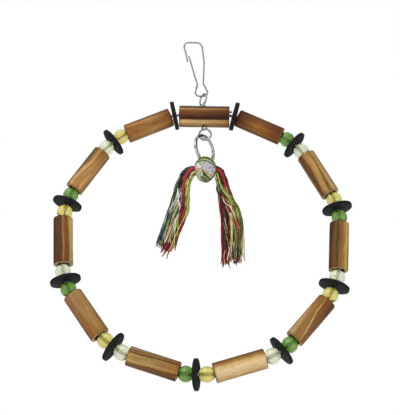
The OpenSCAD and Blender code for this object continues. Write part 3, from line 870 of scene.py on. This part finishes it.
def addWire(name, path, wire, nose, sides, material):
    # a few closely spaced points before its end let it be rounded
    nose *= mm
    end = path[-1]
    direction = (end - path[-2]).normalized()
    path = path[:-1] + [end - direction * nose * k for k in (1.0, 0.75, 0.5, 0.25, 0.1)] + [end]
    return addPiece(name, sweep(path, taperedRadii(path, wire / 2 * mm, nose), sides), [material])


hookPath = roundedPath([point(x, 0, z) for x, z in hook["corners"]], hook["bends"])
hookWire = addWire("snapHookWire", list(reversed(hookPath)), hook["wire"], hook["nose"], 16, nickel)
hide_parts("hook_wire")
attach(hookWire, "hook")

gatePath = roundedPath([point(x, 0, z) for x, z in hook["gate"]], hook["gateBends"])
gateLeg = addWire("snapHookGate", gatePath, hook["wire"], hook["nose"], 16, nickel)
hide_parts("hook_gate")
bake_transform(gateLeg)
print("hook made")

topCentre = Vector(joints["hoop_swivel"]["pos_m"])
pin = {
    "wire": 1.2,  # mm
    "nose": 0.4,
    "strand": 0.552,  # each strand from the pin's middle
    "reach": 7.3,  # from the top tube's middle to its skin
    "standOut": (0.3, 0.35),  # below and above the skin
    "eyeRadius": 4.0,
    "upperEye": (-1.2, 13.5),  # from the top tube's middle
    "upperTurn": 55,  # degrees
    "upperArc": (257, -77),
    "lowerEye": (0.8, -13.8),
    "lowerArcs": ((124, 459), (56, -279)),  # its two rings side by side
    "lowerApart": 0.56,
    "steps": (34, 38),  # round the upper eye and each lower ring
}


def makePin():
    turn = math.radians(-pin["upperTurn"])
    flat = Vector((math.cos(turn), math.sin(turn), 0))
    upper = topCentre + point(pin["upperEye"][0], 0, pin["upperEye"][1])
    lower = topCentre + point(pin["lowerEye"][0], 0, pin["lowerEye"][1])
    radius = pin["eyeRadius"] * mm
    low, high = -pin["reach"] - pin["standOut"][0], pin["reach"] + pin["standOut"][1]
    left, right = ([topCentre + point(x, 0, z) for z in (low, high)] for x in (-pin["strand"], pin["strand"]))
    loop = arcPath(upper, flat, upward, radius, *pin["upperArc"], pin["steps"][0])
    ringLeft, ringRight = (arcPath(lower + Vector((0, y * mm, 0)), rightward, upward, radius, *arc, pin["steps"][1])
                           for y, arc in zip((-pin["lowerApart"], pin["lowerApart"]), pin["lowerArcs"]))
    corners = list(reversed(ringLeft)) + left + loop + list(reversed(right)) + ringRight
    return addWire("eyePin", smoothed(corners, 2), pin["wire"], pin["nose"], 14, pinSteel)


pinPiece = makePin()
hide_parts("eye_pin")
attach(pinPiece, "pin")

splitRing = {
    "outer": 10.5,  # mm
    "band": 1.8,
    "wide": 0.76,
    "apart": 0.41,  # each of its two rounds from its middle plane
    "softEdge": 0.14,
    "hang": 0.3,  # play in the pin's lower eye
    "drop": 11.0,  # its middle, below the pin's lower eye
    "turn": 53,  # degrees
    "start": 148,
    "rounds": 712,
    "crossing": (0.46, 0.54),  # the part of its length where one round climbs over to the other
    "steps": 168,
}


def makeSplitRing():
    turn = math.radians(splitRing["turn"])
    flat = Vector((math.cos(turn), math.sin(turn), 0))
    pole = Vector((-math.sin(turn), math.cos(turn), 0))
    drop = pin["lowerEye"][1] - splitRing["drop"] - splitRing["hang"]
    centre = topCentre + point(pin["lowerEye"][0], 0, drop)
    radius = (splitRing["outer"] - splitRing["band"] / 2) * mm
    near, over, apart = *splitRing["crossing"], splitRing["apart"]
    path = []
    steps = splitRing["steps"]
    for s in range(steps + 1):
        angle = math.radians(splitRing["start"] - splitRing["rounds"] * s / steps)
        climb = mix([(0.0, -apart), (near, -apart), (over, apart), (1.0, apart)], s / steps)
        path.append(centre + flat * math.cos(angle) * radius + upward * math.sin(angle) * radius + pole * climb * mm)
    bm = sweep(path, [1.0] * len(path), 4, pole=pole, section=(splitRing["band"] * mm, splitRing["wide"] * mm))
    piece = addPiece("splitRing", bm, [ringSteel])
    bevel = piece.modifiers.new("softEdges", "BEVEL")
    bevel.width = splitRing["softEdge"] * mm
    bevel.segments = 3
    bevel.limit_method = "ANGLE"
    return piece


ringPiece = makeSplitRing()
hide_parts("split_ring")
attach(ringPiece, "ring")
frame["nodes"]["hoop_wire"].data.materials.clear()
frame["nodes"]["hoop_wire"].data.materials.append(plainSteel)
print("wires made")

# wooden tubes: scorched, each with its own bands of colour, with painted shade at the bands' edges and some painted
# highlight

tubes = {
    "length": 32.0,  # mm
    "diameter": 12.4,
    "wall": 2.3,
    "thickness": [1.03, 0.98, 1.01, 1.02, 0.99, 1.0, 0.99, 1.0, 0.99, 0.97],
    "topLength": 34.0,
    "topDiameter": 14.6,
    "topBore": 10.0,
    "crossHole": 2.6,
    "edge": 0.35,
    "sides": 72,
    "steps": (14, 5),  # along its skin and along its bore
    "uneven": (0.02, 0.14, 0.05),  # mm: everywhere, in slow waves and in fine ridges
    "unevenEnds": 0.12,
    "hoopDrop": 87.28,  # the hoop's middle, below the top tube's
    # colours as seen from the front: -1 is the tube's inner edge and 1 its outer edge, last the back; the dark stops
    # near both edges are painted shade along the outline, and the lightest strips are partly painted highlight over
    # the scorch bands
    "bands": {
        "top": [(-0.98, "4E3822"), (-0.9, "94703F"), (-0.7, "D8B07C"), (-0.5, "F0D8AE"), (-0.33, "DDB682"),
                (-0.27, "B98A54"), (-0.24, "3E1A0C"), (-0.05, "48200D"), (0.2, "6A3A20"), (0.45, "7E4B27"),
                (0.62, "8C5A32"), (0.7, "BC9260"), (0.8, "A57C4E"), (0.85, "5A462E"), (0.98, "332718"), "8A5C34"],
        "01": [(-0.97, "6F4828"), (-0.8, "A27444"), (-0.55, "B08450"), (-0.3, "A0713F"), (0.0, "9A6A3A"),
               (0.3, "8A5A30"), (0.6, "A07244"), (0.85, "8A5E36"), (0.98, "54381F"), "8A5E34"],
        "02": [(-0.97, "7A5834"), (-0.75, "A88352"), (-0.5, "B8935E"), (-0.3, "96703F"), (-0.1, "B08A55"),
               (0.1, "A27A48"), (0.25, "8F6A3C"), (0.5, "C2A06A"), (0.7, "A88250"), (0.88, "7E6238"),
               (0.98, "5A4A2C"), "9A7446"],
        "03": [(-0.98, "A8875A"), (-0.85, "CDB080"), (-0.62, "C8A570"), (-0.52, "8C5C2C"), (-0.25, "84532A"),
               (-0.06, "8C5A2C"), (-0.02, "B08858"), (0.06, "AC8252"), (0.12, "6A3E1E"), (0.45, "5A3018"),
               (0.75, "6A3C20"), (0.9, "4A2A18"), (0.97, "34211A"), "7A5030"],
        "04": [(-0.97, "8A6636"), (-0.8, "AE864E"), (-0.4, "B68E54"), (0.0, "B0864E"), (0.25, "B48A54"),
               (0.45, "A87C48"), (0.7, "A6733F"), (0.88, "9A683A"), (0.98, "6A4728"), "A07444"],
        "05": [(-0.98, "3E2A18"), (-0.88, "B08A58"), (-0.8, "5C3A1C"), (-0.7, "A67C46"), (-0.6, "6B4422"),
               (-0.5, "6B4422"), (-0.42, "A8814C"), (-0.05, "B08650"), (0.2, "C09A62"), (0.38, "B48C56"),
               (0.5, "7A4F2C"), (0.8, "84582F"), (0.98, "50361E"), "8A6238"],
        "06": [(-0.97, "5A3C1E"), (-0.8, "84592C"), (-0.6, "A67A46"), (-0.35, "D0AE80"), (0.0, "E8D0A6"),
               (0.3, "E4CCA4"), (0.6, "DABC8E"), (0.8, "C6A274"), (0.97, "8A6C44"), "B89060"],
        "07": [(-0.97, "A8865E"), (-0.85, "B09070"), (-0.6, "9A6E3C"), (-0.3, "94663A"), (-0.12, "9A6E3C"),
               (-0.04, "5A3A20"), (0.02, "C8A674"), (0.12, "BC9460"), (0.2, "8A5A34"), (0.5, "84542F"),
               (0.75, "7A4C2A"), (0.95, "4A2E1A"), "8A5C34"],
        "08": [(-0.97, "4A2A14"), (-0.75, "54341A"), (-0.55, "68421F"), (-0.38, "7A5030"), (-0.22, "74491F"),
               (-0.18, "5A3C1A"), (-0.05, "5A3C1A"), (0.0, "86602F"), (0.2, "8A6034"), (0.5, "A87C4C"),
               (0.7, "C8A660"), (0.9, "C09C5C"), (0.98, "8A6A3E"), "7A5430"],
        "09": [(-0.98, "5A3C20"), (-0.9, "C8A878"), (-0.82, "6B4420"), (-0.6, "6F4822"), (-0.42, "764E26"),
               (-0.34, "A87E46"), (-0.1, "B88C50"), (0.12, "C0985A"), (0.32, "B48C50"), (0.4, "8A642E"),
               (0.5, "8A642E"), (0.58, "BC965C"), (0.8, "C2A06A"), (0.97, "7E5A38"), "906A3C"],
        "10": [(-0.97, "5A3018"), (-0.75, "84502A"), (-0.52, "9A6A38"), (-0.42, "7E4A24"), (-0.1, "8A5428"),
               (0.15, "84502A"), (0.4, "7A4722"), (0.7, "74421F"), (0.88, "643A1E"), (0.97, "4A2C16"), "6E4022"],
    },
    # how far a band moves round from end to end, and how much it wanders on its way
    "slant": {"01": -0.02, "02": 0.09, "05": -0.05, "07": -0.13, "08": 0.02, "09": 0.02},
    "wander": {"top": 0.25, "02": 1.2, "03": 0.35, "05": 0.5, "07": 0.6, "09": 1.1, "01": 1.5},
    # tints towards the two ends
    "firstEnd": {"01": "B88C6A", "10": "D8AA7C", "top": "C8B090", "02": "D8C8A0"},
    "farEnd": {"01": "F0D8B4", "10": "A47E62", "07": "F0D8A0", "05": "E8C890", "04": "F0E0B0"},
    # red, green and blue: a share, and a power that warms the dark bands most
    "warmth": ((0.97, 1.0), (0.91, 0.98), (0.95, 1.12)),
    # how much of red, green and blue each tube keeps of its bands
    "tint": {"top": (0.75, 0.7, 0.6), "01": (1.1, 1.2, 1.35), "02": (1.15, 1.1, 1.25), "03": (0.85, 0.8, 0.7),
             "04": (0.75, 0.75, 0.95), "05": (0.9, 1.0, 1.15), "06": (0.9, 0.9, 0.85), "07": (1.0, 1.05, 0.95),
             "08": (0.85, 0.85, 0.8), "09": (0.8, 0.8, 0.9), "10": (1.1, 1.25, 1.1)},
    "wanderNoise": ((5.0, 1.8, 1.0), 4.0, 0.55),  # as the grain's
    "mostWander": 0.075,  # of the way round
    "streak": {"top": 0.65, "10": 0.95, "04": 0.6, "06": 0.5, "05": 0.9},
    "usualStreak": 0.8,
    "char": "3A2516",
    "charWander": 0.05,
    "charred": (0.465, 0.505, 0.0, 0.62),  # from this far out to this far, in tube lengths, and how strong
    "relief": (0.6, 0.00022),
    "gloss": 0.2,
}


def warmed(colour, tint):
    return [t * share * c ** power for c, t, (share, power) in zip(colour, tint, tubes["warmth"])] + [1.0]


def bandStops(key):
    # the bands round the tube; its back repeats a few of the front's colours
    *seen, back = tubes["bands"][key]
    stops = [(0.0, back), (0.04, seen[3][1]), (0.07, seen[5][1]), (0.12, back), (0.19, seen[-4][1])]
    stops += [(0.5 + math.asin(s) / (2 * math.pi), colour) for s, colour in seen]
    stops += [(0.80, seen[2][1]), (0.84, back), (0.91, seen[-3][1]), (0.93, seen[1][1]), (1.0, back)]
    return [(place, warmed(hexColour(colour), tubes["tint"][key])) for place, colour in stops]


def makeWoodMaterial(key, seed):
    # a ramp round the tube of its scorch bands with their painted shade and highlight, bent by soft noise, then
    # tinted ends, grain and scorch marks
    material, tree, principled = newMaterial("scorchedWoodWithPaintedShade" + key.capitalize())
    uv = node(tree, "TexCoord").outputs["UV"]
    place = node(tree, "SeparateXYZ", {"Vector": uv}).outputs
    scale, detail, roughness = tubes["wanderNoise"]
    wander = clouds(tree, stretched(tree, uv, scale, (seed * 3.7, seed * 1.3, 0.0)), 1.0, detail, roughness)
    swing = tubes["mostWander"] * tubes["wander"].get(key, 1.0)
    around = maths(tree, "ADD", place["X"], ranged(tree, wander, 0.0, 1.0, -swing, swing))
    across = tubes["slant"].get(key, 0.0)
    slant = maths(tree, "MULTIPLY_ADD", place["Y"], -across, across / 2)
    wrapped = maths(tree, "WRAP", maths(tree, "ADD", around, slant), 1.0, 0.0)
    colour = ramped(tree, wrapped, bandStops(key))
    for end, tints in ((0.0, tubes["firstEnd"]), (1.0, tubes["farEnd"])):
        share = ranged(tree, place["Y"], 0.5, end)
        colour = blended(tree, share, colour, hexColour(tints.get(key, "FFFFFF")), "MULTIPLY")
    streak = tubes["streak"].get(key, tubes["usualStreak"])
    wood = node(tree, "Group", {"Colour": colour, "Vector": uv, "Streak": streak, "Seed": seed * 1.91},
                node_tree=grainGroup).outputs
    fromMiddle = maths(tree, "ABSOLUTE", maths(tree, "SUBTRACT", place["Y"], 0.5))
    wandering = tubes["charWander"]
    uneven = maths(tree, "ADD", fromMiddle, maths(tree, "MULTIPLY_ADD", wander, wandering, -wandering / 2))
    charred = ranged(tree, uneven, *tubes["charred"], kind="SMOOTHSTEP")
    feed(tree, principled, {
        "Base Color": blended(tree, charred, wood["Colour"], hexColour(tubes["char"])),
        "Roughness": wood["Roughness"],
        "Normal": relief(tree, wood["Height"], *tubes["relief"]),
        "Specular IOR Level": tubes["gloss"],
    })
    return material


cutEnd = scuffedMaterial("cutEnd", "B8955F", 1500.0, 0.45, (0.6, 0.85), (0.5, 0.0002))
# the bore is a darker brown than the cut ends: painted shade inside the tube
boreWood = scuffedMaterial("boreWood", "6E5030", 500.0, 0.35, (0.7, 0.9), (0.5, 0.0002))


def makeTube(key, seed, centre, axis, outwards, length, diameter, bore):
    # spun from the outline of its wall, then made a little uneven as the cut stem is
    half, edge = length / 2, tubes["edge"]
    outer, inner = diameter / 2, bore / 2
    run, cut = length - 2 * edge, cornerCut * edge
    skinSteps, boreSteps = tubes["steps"]
    low = [(inner, edge - half), (inner + cut, cut - half), (inner + edge, -half)]
    low += softEdge(outer, half, edge)
    outline = low + [(outer, edge - half + run * k / skinSteps) for k in range(1, skinSteps + 1)]
    outline += upsideDown(low[:-1]) + [(inner, half - edge - run * k / boreSteps) for k in range(1, boreSteps)]
    bm = spun(outline, tubes["sides"])
    bmesh.ops.recalc_face_normals(bm, faces=bm.faces)
    uvLayer = bm.loops.layers.uv.new("UVMap")
    for face in bm.faces:
        angles = [math.atan2(loop.vert.co.y, loop.vert.co.x) / (2 * math.pi) + 0.5 for loop in face.loops]
        wraps = max(angles) - min(angles) > 0.5
        for loop, u in zip(face.loops, angles):
            loop[uvLayer].uv = (u + 1 if wraps and u < 0.5 else u, loop.vert.co.z / (length * mm) + 0.5)
        middle = face.calc_center_median()
        reach = math.hypot(middle.x, middle.y) / mm
        face.material_index = 2 if reach < inner + cut else (1 if reach < outer - 2 * cut else 0)
    offset = Vector((seed * 7.3, seed * 2.1, seed * 5.7))
    least, slow, fine = tubes["uneven"]
    for vert in bm.verts:
        flat = Vector((vert.co.x, vert.co.y, 0))
        radius = flat.length
        x, y, z = flat.x / radius, flat.y / radius, vert.co.z
        wobble = noise.noise(Vector((x * 0.9, y * 0.9, z * 38)) + offset)
        ridge = noise.noise(Vector((x * 4.0, y * 4.0, z * 12)) + offset)
        if radius > (inner + outer) / 2 * mm:
            vert.co -= flat.normalized() * (least + slow * abs(wobble) + fine * abs(ridge)) * mm
        if abs(z) > half * 0.9 * mm:
            vert.co.z += tubes["unevenEnds"] * mm * noise.noise(flat * 160 + offset)
    # local +X faces the camera (u = 0.5), and u grows from the inner edge to the outer edge, so the bands' painted
    # shade lies along the outline that the camera sees
    front = Vector(view["place"]) - centre
    front = (front - axis * front.dot(axis)).normalized()
    sideways, pole = axis.cross(front), axis
    if sideways.dot(outwards) < 0:
        sideways, pole = -sideways, -axis
    turned = Matrix((front, sideways, pole)).transposed().to_4x4()
    materials = [makeWoodMaterial(key, seed), cutEnd, boreWood]
    return addTurned("woodTube" + key.capitalize(), bm, centre, turned, materials)


def drillAcross(tube):
    # the cross hole for the pin
    radius = tubes["crossHole"] / 2 * mm
    bm = bmesh.new()
    bmesh.ops.create_cone(bm, cap_ends=True, segments=32, radius1=radius, radius2=radius, depth=24 * mm)
    bmesh.ops.translate(bm, verts=bm.verts, vec=topCentre)
    drill = addPiece("drill", bm, [boreWood], smooth=False)
    hole = tube.modifiers.new("crossHole", "BOOLEAN")
    hole.object, hole.operation, hole.solver = drill, "DIFFERENCE", "EXACT"
    bpy.context.view_layer.update()
    drilled = bpy.data.meshes.new_from_object(tube.evaluated_get(bpy.context.evaluated_depsgraph_get()))
    tube.modifiers.clear()
    tube.data = drilled
    bpy.data.objects.remove(drill)


hoopCentre = topCentre + point(0, 0, -tubes["hoopDrop"])
topTube = makeTube("top", 1, topCentre, -rightward, upward, tubes["topLength"], tubes["topDiameter"],
                   tubes["topBore"])
drillAcross(topTube)
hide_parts("wood_tube_top")
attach(topTube, "hoop")
for k in range(1, 11):
    centre, axis = threadedAt(f"tube_{k:02d}")
    piece = makeTube(f"{k:02d}", k + 1, centre, axis, (centre - hoopCentre).normalized(), tubes["length"],
                     tubes["diameter"] * tubes["thickness"][k - 1], tubes["diameter"] - 2 * tubes["wall"])
    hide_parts(f"wood_tube_{k:02d}")
    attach(piece, f"wood_tube_{k:02d}")
print("tubes made")

# discs: black leather, punched out, thinner towards the edge and uneven

discs = {
    "diameter": 19.6,  # mm
    "thickness": 2.2,
    "endThickness": 2.85,  # the two beside the top tube
    "hole": 3.2,
    "edge": 0.4,
    "rings": (2.4, 4.6),  # of points between the hole and the edge, from the hole
    "sides": 64,
    "trimmed": 0.02,  # mm, all round its edge
    "ragged": 0.16,
    "thinner": 0.04,  # towards its edge
    "uneven": 0.08,  # mm
    "pebbles": 1400.0,  # per metre
    "fibres": 2600.0,
    "relief": (0.5, 0.00015),
    "gloss": 0.22,
}


def makeLeather():
    material = scuffedMaterial("blackLeather", "0B0D11", 260.0, 0.35, (0.6, 0.85))
    tree, principled = shaderOf(material)
    pebbles = node(tree, "TexVoronoi", {"Vector": ownPlace(tree), "Scale": discs["pebbles"]}).outputs["Distance"]
    height = maths(tree, "ADD", pebbles, clouds(tree, ownPlace(tree), discs["fibres"], 3.0))
    feed(tree, principled, {"Normal": relief(tree, height, *discs["relief"]), "Specular IOR Level": discs["gloss"]})
    return material


leather = makeLeather()


def makeDisc(name, centre, axis, seed):
    half = discs["endThickness" if seed in (1, 11) else "thickness"] / 2
    outer, hole = discs["diameter"] / 2, discs["hole"] / 2
    low = [(hole + ring, -half) for ring in (0, *discs["rings"])] + softEdge(outer, half, discs["edge"])
    bm = spun(low + upsideDown(low), discs["sides"])
    offset = Vector((seed * 3.1, seed * 8.3, seed * 1.7))
    for vert in bm.verts:
        flat = Vector((vert.co.x, vert.co.y, 0))
        share = (flat.length - hole * mm) / ((outer - hole) * mm)
        ragged = noise.noise(flat.normalized() * 1.7 + offset)
        vert.co -= flat.normalized() * (discs["trimmed"] + discs["ragged"] * abs(ragged)) * share * mm
        vert.co.z *= 1 - discs["thinner"] * share
        vert.co.z += discs["uneven"] * mm * noise.noise(flat * 90 + offset) * share
    return addTurned(name, bm, centre, along(axis), [leather])


for k in range(1, 12):
    piece = makeDisc(f"leatherDisc{k:02d}", *threadedAt(f"disc_{k:02d}"), k)
    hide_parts(f"disc_{k:02d}")
    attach(piece, f"disc_{k:02d}")
print("discs made")

# beads: clear plastic balls with a drilled hole

beads = {
    "diameter": 10.0,  # mm
    "hole": 2.2,
    "sides": 40,
    "rings": 20,
    "boreRings": (0.6, 0.0, -0.6),
    "tones": {"yellow": "DAD07A", "clear": "E0E4C8", "green": "72A044"},
    "clearness": {"yellow": 0.86, "clear": 0.82, "green": 0.68},  # the rest is milky
    "bending": 1.49,  # of light, as in acrylic
    "slots": {"yellow": "yellow_bead", "clear": "clear_bead", "green": "green_bead"},
}


def makeBeadMaterial(tone):
    material = scuffedMaterial(tone + "Bead", beads["tones"][tone], 180.0, 0.06, (0.01, 0.05))
    tree, principled = shaderOf(material)
    feed(tree, principled, {"Transmission Weight": beads["clearness"][tone], "IOR": beads["bending"]})
    return material


beadMaterials = {tone: makeBeadMaterial(tone) for tone in beads["tones"]}


def makeBead(name, centre, axis, material):
    radius, hole = beads["diameter"] / 2, beads["hole"] / 2
    start = math.asin(hole / radius)
    rings = beads["rings"]
    angles = [start + (math.pi - 2 * start) * s / rings for s in range(rings + 1)]
    outline = [(radius * math.sin(angle), -radius * math.cos(angle)) for angle in angles]
    outline += [(hole, outline[-1][1] * k) for k in beads["boreRings"]]
    return addTurned(name, spun(outline, beads["sides"]), centre, along(axis), [material])


for k in range(1, 19):
    tone = ["yellow", "clear", "green"][(k - 1) % 3]
    centre, axis = threadedAt(f"bead_{k:02d}")
    piece = makeBead(f"bead{k:02d}{tone.capitalize()}", centre, axis, beadMaterials[tone])
    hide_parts(f"bead_{k:02d}_{tone}")
    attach(piece, f"bead_{k:02d}_{tone}")
print("beads made")

# floor, light and what the swing mirrors

stage = {
    "floor": -1.3,  # metres, well below the low lamp
    "reach": 40.0,
    "floorTone": "F2F2F0",
    "fade": (1.6, 5.0),  # metres from the middle, between which the floor melts into white
    "glow": (0.5, 0.5, 0.5, 1),
    # each lamp's place, energy and size
    "key": ((-0.6, -0.8, 0.6), 11.0, 1.3),
    "fill": ((0.75, -0.6, -0.35), 3.5, 1.1),
    # soft light by height, from below to above, and what the wires mirror
    "sky": ((0.0, 0.62), (0.35, 0.40), (0.55, 0.22), (0.75, 0.85), (1.0, 1.0)),
    "mirrored": ((0.0, 0.75), (0.3, 0.45), (0.45, 0.10), (0.6, 0.16), (0.72, 0.5), (0.85, 0.2), (1.0, 0.9)),
    "patches": 2.2,
    "patchTones": (0.35, 0.65, 0.35, 1.5),
}


def makeFloor():
    bm = bmesh.new()
    bmesh.ops.create_circle(bm, cap_ends=True, segments=96, radius=stage["reach"])
    bmesh.ops.translate(bm, verts=bm.verts, vec=(0, 0, stage["floor"]))
    material = scuffedMaterial("paleFloor", stage["floorTone"], 3.0, 0.02, (0.8, 0.9))
    tree, principled = shaderOf(material)
    far = node(tree, "VectorMath", {0: ownPlace(tree)}, operation="LENGTH").outputs["Value"]
    glow = blended(tree, ranged(tree, far, *stage["fade"], kind="SMOOTHSTEP"), (0, 0, 0, 1), stage["glow"])
    feed(tree, principled, {"Emission Color": glow, "Emission Strength": 1.0})
    return addPiece("paleFloor", bm, [material])


floor = makeFloor()

for name in ("key", "fill"):
    place, energy, size = stage[name]
    light = bpy.data.lights.new(name, "AREA")
    light.energy = energy
    light.size = size
    lamp = bpy.data.objects.new(name, light)
    lamp.matrix_world = Matrix.Translation(place) @ along(Vector(place) - hoopCentre)
    lamp.visible_camera = False
    bpy.context.scene.collection.objects.link(lamp)


def makeWorld():
    # white behind the swing, soft for its light, and patchy in the wires
    world = bpy.data.worlds.new("studio")
    world.use_nodes = True
    tree = world.node_tree
    ray = node(tree, "LightPath").outputs
    where = node(tree, "TexCoord").outputs["Generated"]
    height = ranged(tree, node(tree, "SeparateXYZ", {"Vector": where}).outputs["Z"], -1.0, 1.0)
    sky, mirrored = (ramped(tree, height, [(place, (level, level, level, 1)) for place, level in stage[name]])
                     for name in ("sky", "mirrored"))
    patches = ranged(tree, clouds(tree, where, stage["patches"], 1.0), *stage["patchTones"])
    bounced = blended(tree, ray["Is Glossy Ray"], sky, toned(tree, mirrored, patches))
    seen = maths(tree, "MAXIMUM", ray["Is Camera Ray"], ray["Is Transmission Ray"])
    feed(tree, tree.nodes["Background"], {"Color": blended(tree, seen, bounced, (1, 1, 1, 1)), "Strength": 1.0})
    return world


bpy.context.scene.world = makeWorld()
bpy.context.scene.view_settings.view_transform = "Standard"
print("stage and light set")
